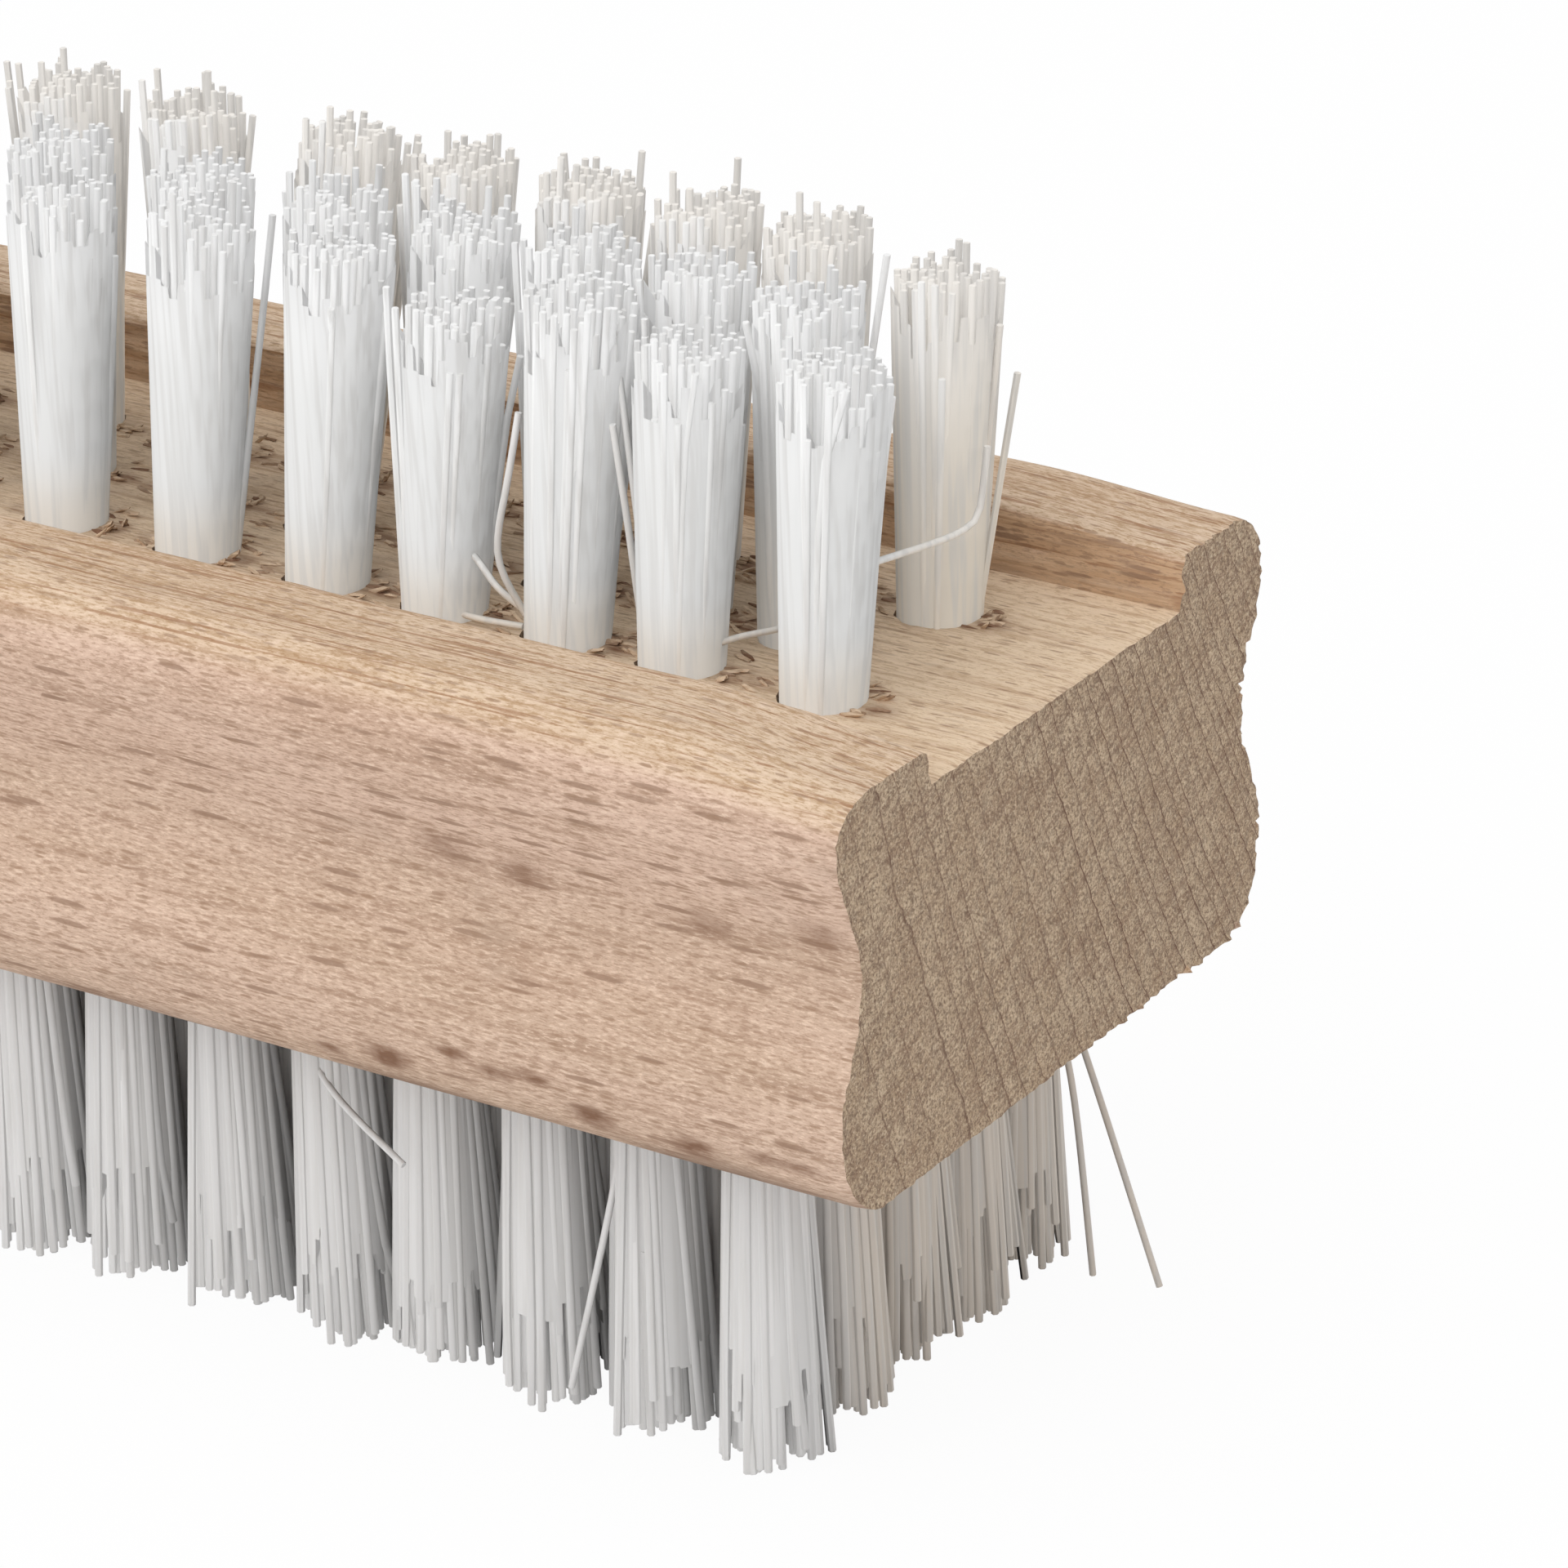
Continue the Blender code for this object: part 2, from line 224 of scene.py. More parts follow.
# Loose fibres of the photographed tufts, as points in mm
LOOSE_FIBRES = (
    ((38.7, -4.6, 42.7), (39.8, 1.2, 42.2), (40.0, 2.6, 42.4), (40.2, 2.9, 42.8), (40.5, 3.1, 46.1)),
    ((21.6, -6.8, 47.5), (21.2, -7.2, 44.5), (20.4, -7.4, 41.0), (20.6, -7.2, 39.4), (21.4, -6.6, 37.4)),
    ((17.4, -6.0, 40.2), (18.9, -6.5, 39.4), (20.1, -7.0, 38.6), (21.2, -6.5, 37.6)),
    ((17.0, -6.3, 36.6), (18.8, -6.8, 36.7), (21.0, -6.3, 36.6)),
    ((30.8, -5.6, 37.4), (32.0, -4.8, 37.9), (33.2, -3.2, 37.9), (33.0, -1.4, 37.6)),
    ((38.0, 10.6, 17.4), (39.6, 10.2, 14.4), (40.8, 10.0, 11.0), (41.6, 10.4, 0.3)),
    ((38.2, 11.6, 17.4), (40.5, 11.5, 12.0), (45.0, 11.0, 0.3)),
    ((10.5, -11.5, 17.3), (12.7, -13.0, 13.9), (18.3, -14.0, 11.3)),
    ((30.0, -12.0, 17.3), (29.5, -13.0, 12.0), (27.1, -13.5, 1.6)),
    ((38.2, -4.8, 37.0), (39.1, -4.4, 44.0), (39.9, -4.0, 50.8)),
    ((27.7, -6.2, 37.0), (27.3, -6.6, 43.0), (26.9, -7.0, 48.0)),
    ((27.7, -5.5, 37.0), (27.0, -5.7, 45.0), (26.3, -5.8, 52.0)),
    ((27.9, -5.2, 37.0), (27.7, -5.2, 46.0), (27.6, -5.2, 52.6)),
    ((33.8, 0.6, 37.0), (35.0, 0.9, 46.0), (36.5, 1.2, 55.2)),
    ((33.7, 0.4, 37.0), (34.6, 0.6, 44.0), (35.7, 0.8, 50.2)),
    ((34.9, 5.0, 37.0), (35.3, 4.6, 45.0), (35.9, 4.2, 52.6)),
    ((37.8, 5.6, 37.0), (38.8, 5.7, 44.0), (39.6, 5.8, 50.9)),
)
LOOSE_RINGS = 16
CORNER_CUTS = 3

# The growth rings and rays on an end
RING_SPACING = 1.15 * MM
RING_CENTRE_HEIGHT = 28.0 * MM
RING_ACROSS = 0.91
RING_SLANT = 0.41
RING_FANNING = 6.0
RING_CROWDING = 12.0
RAY_LEAN = math.radians(-24.0)

# The photograph's camera, measured from the middle of the sawn end, at the height of its lower bulge
CAMERA_AZIMUTH = math.radians(33.1)
CAMERA_ELEVATION = math.radians(24.5)
CAMERA_ROLL = math.radians(-1.4)
CAMERA_DISTANCE = 310.5 * MM
CAMERA_RIGHT = -12.5 * MM
CAMERA_UP = 9.1 * MM
CAMERA_LENS = 155.0
CAMERA_SENSOR = 36.0

# The studio, with places and sizes in metres
LAMP_TARGET = (0.02, 0.0, 0.03)
FLOOR_SIZE = 3.0
FLOOR_COLOUR = (0.95, 0.95, 0.95, 1.0)
FLOOR_GLOW = 0.95
WORLD_LIGHT = 0.6


def arc(centre_y, centre_z, radius_y, radius_z, start_degrees, end_degrees):
    """Points of an elliptical arc, both ends included."""
    points = []
    for step in range(ARC_STEPS + 1):
        turn = math.radians(start_degrees + (end_degrees - start_degrees) * step / ARC_STEPS)
        points.append((centre_y + radius_y * math.cos(turn), centre_z + radius_z * math.sin(turn)))
    return points


def half_profile():
    """The far half of the block's section, as (y, z), from the bottom face up to the floor."""
    low = BLOCK_BOTTOM + LOWER_BULGE_HEIGHT
    high = BLOCK_CREST - UPPER_BULGE_DROP
    points = arc(HALF_WIDTH - LOWER_EDGE_ROUND, low, LOWER_EDGE_ROUND, LOWER_BULGE_HEIGHT, -90, 0)
    for step in range(1, WAIST_STEPS):
        share = step / WAIST_STEPS
        hollow = (1 - math.cos(2 * math.pi * share)) / 2
        points.append((HALF_WIDTH - WAIST_DEPTH * hollow, low + (high - low) * share))
    points += arc(HALF_WIDTH - RAIL_OUTER_ROUND, high, RAIL_OUTER_ROUND, UPPER_BULGE_DROP, 0, 90)
    inner_y = FLOOR_HALF_WIDTH + RAIL_WALL_LEAN + RAIL_INNER_ROUND
    inner_z = BLOCK_CREST - RAIL_INNER_ROUND
    points += arc(inner_y, inner_z, RAIL_INNER_ROUND, RAIL_INNER_ROUND, 90, 180)
    points.append((FLOOR_HALF_WIDTH, FLOOR_LEVEL))
    return points


def closed_outline():
    """The whole section as an array of points no further apart than OUTLINE_SPACING."""
    far_half = half_profile()
    corners = np.array(far_half + [(-y, z) for y, z in reversed(far_half)])
    points = []
    for start, end in zip(corners, np.roll(corners, -1, axis=0)):
        parts = max(1, math.ceil(math.dist(start, end) / OUTLINE_SPACING))
        for part in range(parts):
            points.append(start + (end - start) * (part / parts))
    return np.array(points)


def outward(outline):
    """The outline's unit normals, which point out of the wood."""
    tangents = np.roll(outline, -1, axis=0) - np.roll(outline, 1, axis=0)
    return unit(np.stack([tangents[:, 1], -tangents[:, 0]], axis=1))


def unit(vectors):
    return vectors / np.linalg.norm(vectors, axis=-1, keepdims=True)


def smoothstep(share):
    share = np.clip(share, 0.0, 1.0)
    return share * share * (3 - 2 * share)


def grain_noise(x, y, z, length, width):
    """Smooth noise from -1 to 1 that is drawn out along the grain."""
    return noise.noise(Vector((x / length, y / width, z / width)))


def end_noise(y, z, size, layer):
    """Smooth noise from -1 to 1 over an end. Each layer number has a pattern of its own."""
    return noise.noise(Vector((y / size, z / size, layer)))


def end_offset(y, z, end):
    """How far a point of a rough-sawn end stands proud of its plane."""
    coarse = end_noise(y, z, COARSE_SAW_MARKS, 7.0 * end)
    fine = end_noise(y, z, FINE_SAW_MARKS, 3.0 + 5.0 * end)
    return END_ROUGHNESS * (0.6 * coarse + fine)


def edge_tooth(y, z, end):
    """A splinter that the saw left, or a notch that it tore, most where it came out, on the far side."""
    tooth = end_noise(y, z, TOOTH_SIZE, 11.0 * end)
    torn = LEAST_TORN + (1 - LEAST_TORN) * smoothstep((y - TORN_FROM) / TORN_OVER)
    return torn * END_TEETH * math.copysign(max(0.0, abs(tooth) - TOOTH_THRESHOLD), tooth)


def unevenness(x, y, z):
    """Gentle waves on the sanded faces, and torn ridges along the channel's milled walls."""
    on_wall = -0.01 * MM < abs(y) - FLOOR_HALF_WIDTH < RAIL_WALL_LEAN + 0.1 * MM
    if on_wall and z > FLOOR_LEVEL + 0.2 * MM:
        return WALL_UNEVENNESS * grain_noise(x, y, z, *WALL_RIDGES)
    return SIDE_UNEVENNESS * grain_noise(x, y, z, *SIDE_WAVES)


def block_section(x, outline, normals, end):
    """The block's section at x, worn, uneven and, at an end, ragged."""
    section = outline.copy()
    wear = smoothstep((x - HALF_LENGTH + END_WEAR_LENGTH) / END_WEAR_LENGTH)
    near_wear = NEAR_RAIL_WEAR + wear * (NEAR_END_WEAR - NEAR_RAIL_WEAR)
    depth = np.where(section[:, 0] < 0, near_wear, wear * FAR_END_WEAR)
    share = np.clip(section[:, 1] - FLOOR_LEVEL, 0.0, None) / (BLOCK_CREST - FLOOR_LEVEL)
    section[:, 1] -= depth * share
    crush = CRUSHED_EDGE if end else 0.0
    ring = []
    for (y, z), normal in zip(section, normals):
        bump = unevenness(x, y, z) - crush
        stand = x + end * (end_offset(y, z, end) + edge_tooth(y, z, end))
        ring.append((stand, y + normal[0] * bump, z + normal[1] * bump))
    return ring


def add_end(bm, ring, end):
    """Closes an end with small triangles that stand as unevenly as rough-sawn end grain."""
    chance = np.random.default_rng(END_SEED + end)
    outline = [Vector((vert.co.y, vert.co.z)) for vert in ring]
    inside = []
    for y in np.arange(-HALF_WIDTH, HALF_WIDTH, END_GRAIN_SPACING):
        for z in np.arange(BLOCK_BOTTOM, BLOCK_CREST, END_GRAIN_SPACING):
            jitter = chance.uniform(-END_GRAIN_JITTER, END_GRAIN_JITTER, 2) * END_GRAIN_SPACING
            inside.append(Vector((y + jitter[0], z + jitter[1])))
    edges = [(i, (i + 1) % len(outline)) for i in range(len(outline))]
    keep_inside = 1
    tolerance = 1e-7
    points, _, faces, sources, _, _ = delaunay_2d_cdt(outline + inside, edges, [], keep_inside, tolerance)
    verts = {}
    for index in {i for face in faces for i in face}:
        rim = [source for source in sources[index] if source < len(outline)]
        if rim:
            verts[index] = ring[rim[0]]
        else:
            y, z = points[index]
            verts[index] = bm.verts.new((end * (HALF_LENGTH + end_offset(y, z, end)), y, z))
    for face in faces:
        bm.faces.new([verts[i] for i in face])


def add_hole(bm, x, y, top, bottom, chance):
    """A ragged drill from one height to another."""
    turns = np.arange(HOLE_SIDES) * 2 * math.pi / HOLE_SIDES
    radii = HOLE_RADIUS + chance.uniform(-0.5, 1.0, HOLE_SIDES) * HOLE_RAGGEDNESS
    rings = []
    for z in (bottom, top):
        rings.append([
            bm.verts.new((x + radius * math.cos(turn), y + radius * math.sin(turn), z))
            for turn, radius in zip(turns, radii)
        ])
    low, high = rings
    for i in range(HOLE_SIDES):
        j = (i + 1) % HOLE_SIDES
        bm.faces.new((low[i], low[j], high[j], high[i]))
    bm.faces.new(reversed(low))
    bm.faces.new(high)


def even_places(stations, pitch):
    return [(index - (stations - 1) / 2) * pitch for index in range(stations)]


def upper_tufts():
    """(row, number, x, y) of each upper tuft. They were drilled by hand, so none is quite in its place."""
    chance = np.random.default_rng(PLACE_SEED)
    tufts = []
    for row, y, stations in UPPER_ROWS:
        for number, x in enumerate(even_places(stations, UPPER_PITCH), 1):
            wander = chance.uniform(-PLACE_WANDER, PLACE_WANDER)
            shift = OFF_PLACE[row][number] * MM if number in OFF_PLACE[row] else wander
            tufts.append((row, number, x + shift, y))
    return tufts


def lower_tufts(rows):
    """(row, number, x, y) of the lower tufts in some rows."""
    return [
        (row, number, x, y)
        for row, y in rows
        for number, x in enumerate(even_places(LOWER_STATIONS, LOWER_PITCH), 1)
    ]


def new_piece(name, mesh, material):
    mesh.materials.append(material)
    piece = bpy.data.objects.new(name, mesh)
    bpy.context.scene.collection.objects.link(piece)
    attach(piece, BODY)
    return piece


def block_mesh():
    """The block as a dense closed mesh, before its holes are drilled."""
    outline = closed_outline()
    normals = outward(outline)
    stations = np.linspace(-HALF_LENGTH, HALF_LENGTH, round(2 * HALF_LENGTH / STATION_SPACING) + 1)
    ends = [-1] + [0] * (len(stations) - 2) + [1]
    bm = bmesh.new()
    rings = []
    for x, end in zip(stations, ends):
        rings.append([bm.verts.new(point) for point in block_section(x, outline, normals, end)])
    count = len(outline)
    for ring, following in zip(rings, rings[1:]):
        for i in range(count):
            j = (i + 1) % count
            bm.faces.new((ring[i], following[i], following[j], ring[j]))
    add_end(bm, rings[0], -1)
    add_end(bm, rings[-1], 1)
    bmesh.ops.recalc_face_normals(bm, faces=bm.faces)
    mesh = bpy.data.meshes.new("beech_body")
    bm.to_mesh(mesh)
    bm.free()
    return mesh


def drills():
    """All the drills as one object, which the block is cut with and which is then removed."""
    chance = np.random.default_rng(DRILL_SEED)
    bm = bmesh.new()
    spare = 1.0 * MM
    for _, _, x, y in upper_tufts():
        add_hole(bm, x, y, FLOOR_LEVEL + spare, FLOOR_LEVEL - HOLE_DEPTH, chance)
    for _, _, x, y in lower_tufts(OUTER_ROWS + INNER_ROWS):
        add_hole(bm, x, y, BLOCK_BOTTOM + HOLE_DEPTH, BLOCK_BOTTOM - spare, chance)
    mesh = bpy.data.meshes.new("drills")
    bm.to_mesh(mesh)
    bm.free()
    obj = bpy.data.objects.new("drills", mesh)
    bpy.context.scene.collection.objects.link(obj)
    return obj


def drill(block):
    """Cuts the holes and applies the cut."""
    cutter = drills()
    modifier = block.modifiers.new("holes", "BOOLEAN")
    modifier.operation = "DIFFERENCE"
    modifier.solver = "MANIFOLD"
    modifier.object = cutter
    graph = bpy.context.evaluated_depsgraph_get()
    result = bpy.data.meshes.new_from_object(block.evaluated_get(graph))
    block.modifiers.clear()
    block.data = result
    bpy.data.objects.remove(cutter, do_unlink=True)


def store(mesh, name, values):
    mesh.attributes.new(name, "FLOAT", "POINT").data.foreach_set("value", np.asarray(values, float))


def spot(across, along, width, height, power=1):
    """A soft round spot: 1 in its middle, falling to 0, with a clearer edge for a higher power."""
    return np.exp(-(((across / width) ** 2 + (along / height) ** 2) ** power))


def paint_block(mesh):
    """Stores how far each point is inside a drilled hole, for painted shade there, and how stained it is,
    with painted shade beside the upper holes.
    """
    places = np.empty(len(mesh.vertices) * 3)
    mesh.vertices.foreach_get("co", places)
    x, y, z = places.reshape(-1, 3).T
    skin = 0.15 * MM
    inside = (z < FLOOR_LEVEL - skin) & (z > BLOCK_BOTTOM + skin)
    inside &= (np.abs(y) < HALF_WIDTH - 3 * MM) & (np.abs(x) < HALF_LENGTH - 1 * MM)
    # Points inside the holes, which the material darkens as painted shade
    store(mesh, "hollow", inside)
    near_side = y < -0.75 * HALF_WIDTH
    stain_and_shade = np.zeros(len(x))
    for darkness, width, height, marks in (SMUDGES, BROWN_SPOTS, BROWN_DASHES):
        for mark_x, mark_z in marks:
            mark = spot(x - mark_x * MM, z - mark_z * MM, width * MM, height * MM, power=2)
            stain_and_shade += darkness * near_side * mark
    # Painted shade of torn pockets in the floor past each upper hole, more so towards +X
    on_floor = np.abs(z - FLOOR_LEVEL) < 0.3 * MM
    beyond = HOLE_RADIUS + 0.9 * MM
    for _, _, hole_x, hole_y in upper_tufts():
        stain_and_shade += 0.9 * on_floor * spot(x - hole_x - beyond, y - hole_y, 0.9 * MM, 0.8 * MM)
        stain_and_shade += 0.5 * on_floor * spot(x - hole_x + beyond, y - hole_y, 0.7 * MM, 0.7 * MM)
    store(mesh, "stain_and_shade", stain_and_shade)


def make_block(beech):
    mesh = block_mesh()
    block = new_piece("beech_body", mesh, beech)
    drill(block)
    block.data.shade_smooth()
    block.data.set_sharp_from_angle(angle=SHARP_ANGLE)
    paint_block(block.data)
    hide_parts("beech_block")


def add_chip(bm, chance, x, y, way, height, tilt):
    """One splinter beside the hole at x, y, towards +X or -X. Returns how many vertices it has."""
    turn = chance.normal(0.0, CHIP_SPREAD)
    reach = HOLE_RADIUS + chance.uniform(*CHIP_REACH) * MM
    rise = height * chance.uniform(0.2, 1.2) * MM
    place = Vector((x + way * reach * math.cos(turn), y + reach * math.sin(turn), FLOOR_LEVEL + rise))
    size = chance.uniform(SMALLEST_CHIP, LARGEST_CHIP) * MM
    pitch = Matrix.Rotation(-way * abs(chance.normal(0.0, tilt)), 4, "Y")
    yaw = Matrix.Rotation(chance.normal(0.0, CHIP_TURN), 4, "Z")
    matrix = Matrix.Translation(place) @ yaw @ pitch @ Matrix.Diagonal((*size, 1.0))
    verts = bmesh.ops.create_icosphere(bm, subdivisions=1, radius=1.0, matrix=matrix)["verts"]
    for vert in verts:
        vert.co += Vector(chance.uniform(-CHIP_ROUGHNESS, CHIP_ROUGHNESS, 3)) * MM
    return len(verts)


def make_chips(beech):
    """Splinters that the drill tore up, along the grain from each upper hole, darkened by painted shade.
    """
    chance = np.random.default_rng(CHIP_SEED)
    bm = bmesh.new()
    stains_and_shade = []
    for _, _, x, y in upper_tufts():
        for way, count, stain_and_shade, height, tilt in CHIP_KINDS:
            for _ in range(count):
                stains_and_shade += [stain_and_shade] * add_chip(bm, chance, x, y, way, height, tilt)
    mesh = bpy.data.meshes.new("torn_chips")
    bm.to_mesh(mesh)
    bm.free()
    store(mesh, "stain_and_shade", stains_and_shade)
    new_piece("torn_chips", mesh, beech)


class Bristles:
    """Collects closed tubes and fluted bundles for one mesh."""

    def __init__(self):
        self.verts = []
        self.normals = []
        self.faces = []

    def add_rings(self, rings, normals):
        """Joins closed rings of points, an array of bodies x rings x corners x 3, into capped bodies."""
        bodies, count, corners, _ = rings.shape
        ring_index = np.arange(count - 1)[:, None] * corners
        start = ring_index + np.arange(corners)
        following = ring_index + (np.arange(corners) + 1) % corners
        wall = np.stack([start, following, following + corners, start + corners], axis=-1)
        first = len(self.verts) + np.arange(bodies)[:, None, None] * count * corners
        walls = (first + wall.reshape(1, -1, 4)).reshape(-1, 4)
        root_cap = np.arange(corners)[::-1]
        tip_cap = (count - 1) * corners + np.arange(corners)
        caps = (first + np.stack([root_cap, tip_cap])[None]).reshape(-1, corners)
        self.verts.extend(rings.reshape(-1, 3).tolist())
        self.normals.extend(normals.reshape(-1, 3).tolist())
        self.faces.extend(walls.tolist())
        self.faces.extend(caps.tolist())

    def add_tubes(self, paths, radius, facing):
        """Adds a fibre along each path, an array of fibres x rings x 3, shaded partly as facing says."""
        tubes, count, _ = paths.shape
        tangents = unit(np.gradient(paths, axis=1))
        turns = np.arange(FIBRE_SIDES) * 2 * math.pi / FIBRE_SIDES
        rings = np.empty((tubes, count, FIBRE_SIDES, 3))
        normals = np.empty_like(rings)
        # The corners are counted from any direction that no fibre runs along
        side = np.broadcast_to((0.8, 0.6, 0.1), (tubes, 3))
        for ring in range(count):
            tangent = tangents[:, ring]
            side = unit(side - np.sum(side * tangent, axis=1, keepdims=True) * tangent)
            across = np.cross(tangent, side)
            for corner, turn in enumerate(turns):
                offset = side * math.cos(turn) + across * math.sin(turn)
                rings[:, ring, corner] = paths[:, ring] + radius * offset
                normals[:, ring, corner] = offset + facing[:, ring]
        self.add_rings(rings, unit(normals))

    def add_tuft(self, tuft, bundle_top, bundle_swell, fibre_radius):
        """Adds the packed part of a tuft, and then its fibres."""
        rings = tuft.bundle(bundle_top, bundle_swell)
        self.add_rings(rings, unit(tuft.facing(rings)))
        paths = tuft.fibres()
        self.add_tubes(paths, fibre_radius, tuft.facing(paths))

    def mesh(self, name):
        mesh = bpy.data.meshes.new(name)
        mesh.from_pydata(self.verts, [], self.faces)
        mesh.polygons.foreach_set("use_smooth", [len(face) == 4 for face in self.faces])
        # A zero vector leaves a cap its own flat normal
        own = (0.0, 0.0, 0.0)
        mesh.normals_split_custom_set(
            [self.normals[vert] if len(face) == 4 else own for face in self.faces for vert in face]
        )
        return mesh


class Tuft:
    """One tuft, whose fibres run from inside its hole out to their tips."""

    def __init__(self, x, y, face_z, upward, length, tip_radius, tip_scatter, chance):
        self.place = np.array((x, y, face_z))
        self.upward = upward
        self.length = length
        self.tip_radius = tip_radius
        self.tip_scatter = tip_scatter
        self.lean = chance.normal(0.0, LEAN_SCATTER, 2)
        self.chance = chance

    def put(self, across, rise):
        """Points of the tuft, from their places across its axis and their heights out of the wood."""
        return np.concatenate([across, self.upward * rise[..., None]], axis=-1) + self.place

    def trimmed(self, tip):
        """The trimmed lengths: uneven in patches, with some fibres cut short and a few left long."""
        chance = self.chance
        count = len(tip)
        seed = chance.uniform(0.0, 100.0)
        patches = np.array([noise.noise(Vector((*(place * TRIM_PATCH_SCALE), seed))) for place in tip])
        scatter = np.abs(chance.normal(0.0, TRIM_SCATTER, count)) * MM
        lengths = self.length + TRIM_PATCHES * MM * patches - scatter
        short = chance.random(count) < SHORT_SHARE
        lengths[short] -= chance.uniform(*SHORT_BY, int(short.sum())) * MM
        long = chance.random(count) < LONG_SHARE
        lengths[long] = self.length + chance.uniform(*LONG_BY, int(long.sum())) * MM
        return lengths if self.upward > 0 else np.minimum(lengths, self.length)

    def fibres(self):
        """The fibres' paths: the outer ones from inside the hole, the others from inside the bundle."""
        chance = self.chance
        count = FIBRES_PER_TUFT
        spiral = np.arange(count) + 0.5
        reach = np.sqrt(spiral / count)
        turn = spiral * GOLDEN_ANGLE
        root = np.stack([reach * np.cos(turn), reach * np.sin(turn)], axis=1)
        tip = root + chance.normal(0.0, self.tip_scatter, root.shape)
        bow = chance.normal(0.0, BOW, root.shape)
        hook = chance.normal(0.0, HOOK, root.shape)
        hook[chance.random(count) < HOOKED_SHARE] *= HOOKED_TIMES
        away = chance.uniform(-math.pi, math.pi)
        beside = np.abs(np.angle(np.exp(1j * (turn - away)))) < SPLAYED_ANGLE
        tip[beside & (reach > OUTER_REACH)] *= chance.uniform(1.0, MOST_SPLAYED_TIMES)
        stray = chance.random(count) < STRAY_SHARE
        tip[stray] *= chance.uniform(*STRAY_TIMES, (int(stray.sum()), 1))
        first = np.where(reach > OUTER_REACH, 0.0, INNER_FIBRE_START)[:, None, None]
        share = first + (1 - first) * np.linspace(0.0, 1.0, FIBRE_RINGS)[None, :, None]
        across = root[:, None] * ROOT_RADIUS * (1 - share)
        across = across + (tip * self.tip_radius + self.lean)[:, None] * share
        across = across + bow[:, None] * np.sin(math.pi * share) + hook[:, None] * share**6
        rise = (self.trimmed(tip) + ROOT_DEPTH)[:, None] * share[:, :, 0] - ROOT_DEPTH
        return self.put(across, rise)

    def facing(self, paths):
        """Which way the tuft as a whole faces at each point: outwards, and up too if it stands up."""
        rise = (paths[..., 2] - self.place[2]) * self.upward
        share = (rise + ROOT_DEPTH) / (self.length + ROOT_DEPTH)
        centre = self.place[:2] + self.lean * share[..., None]
        across = (paths[..., :2] - centre) / self.tip_radius
        if self.upward > 0:
            outward = UPPER_OUTWARD * across
            at_tips = smoothstep((rise / self.length - TIPS_FROM) / TIPS_OVER)
            skyward = UPPER_SKYWARD + TIPS_SKYWARD * at_tips
        else:
            outward = LOWER_OUTWARD * across
            skyward = np.full_like(rise, LOWER_SKYWARD)
        return FACING * np.concatenate([outward, skyward[..., None]], axis=-1)

    def bundle(self, top_share, swell):
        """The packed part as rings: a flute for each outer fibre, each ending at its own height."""
        chance = self.chance
        widths = chance.uniform(*FLUTE_WIDTHS, FLUTES)
        widths *= 2 * math.pi / widths.sum()
        starts = np.cumsum(widths) - widths
        tops = top_share + chance.uniform(*FLUTE_ENDS, FLUTES)
        crest_start, crest_end = FLUTE_CREST
        corners = [starts, starts + crest_start * widths, starts + crest_end * widths]
        turns = np.stack(corners, axis=1).ravel()
        tops = np.stack([np.minimum(tops, np.roll(tops, 1)), tops, tops], axis=1).ravel()
        crests = FLUTE_RELIEF * np.repeat(chance.random(FLUTES), 3)
        share = np.concatenate([np.linspace(0.0, 1.0, BUNDLE_RINGS)[:, None] * tops, [tops - HEART_DROP]])
        radii = ROOT_RADIUS * (1 - share) + self.tip_radius * share + swell + crests
        radii[-1] *= HEART_RADIUS
        way = np.stack([np.cos(turns), np.sin(turns)], axis=1)
        across = radii[..., None] * way + self.lean * share[..., None]
        rise = (self.length + ROOT_DEPTH) * share - ROOT_DEPTH
        # A lower tuft's rings run the other way round, so that its faces point outwards too
        return self.put(across, rise)[None, :, ::self.upward]


def upper_length(row, number, x, y):
    """The tufts near the photographed end are shorter, and the far row's longer."""
    from_end = (HALF_LENGTH - x) / UPPER_END_STRETCH
    worn_away = UPPER_END_SHORTENING * (1 - smoothstep(from_end))
    extra = UPPER_FAR_EXTRA * max(0.0, y / ROW_DISTANCE) * smoothstep(from_end)
    return UPPER_LENGTH - worn_away + extra - CUT_SHORTER[row].get(number, 0.0) * MM


def add_bristles(name, node, bristles, nylon):
    piece = new_piece(name, bristles.mesh(name), nylon)
    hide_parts(node)


def make_upper_bristles(nylon):
    for index, (row, number, x, y) in enumerate(upper_tufts()):
        name = f"{row}_{number:02d}"
        chance = np.random.default_rng(UPPER_TUFT_SEED + index)
        length = upper_length(row, number, x, y)
        tuft = Tuft(x, y, FLOOR_LEVEL, 1, length, UPPER_TIP_RADIUS, UPPER_TIP_SCATTER, chance)
        tuft.lean[0] += LEANING[row].get(number, 0.0) * MM
        bristles = Bristles()
        bristles.add_tuft(tuft, UPPER_BUNDLE_TOP, UPPER_BUNDLE_SWELL, FIBRE_RADIUS)
        add_bristles(f"upper_bristles_{name}", f"upper_tuft_{name}", bristles, nylon)


def add_lower_tuft(bristles, x, y, seed):
    chance = np.random.default_rng(seed)
    tuft = Tuft(x, y, BLOCK_BOTTOM, -1, LOWER_LENGTH, LOWER_TIP_RADIUS, LOWER_TIP_SCATTER, chance)
    bristles.add_tuft(tuft, LOWER_BUNDLE_TOP, LOWER_BUNDLE_SWELL, LOWER_FIBRE_RADIUS)


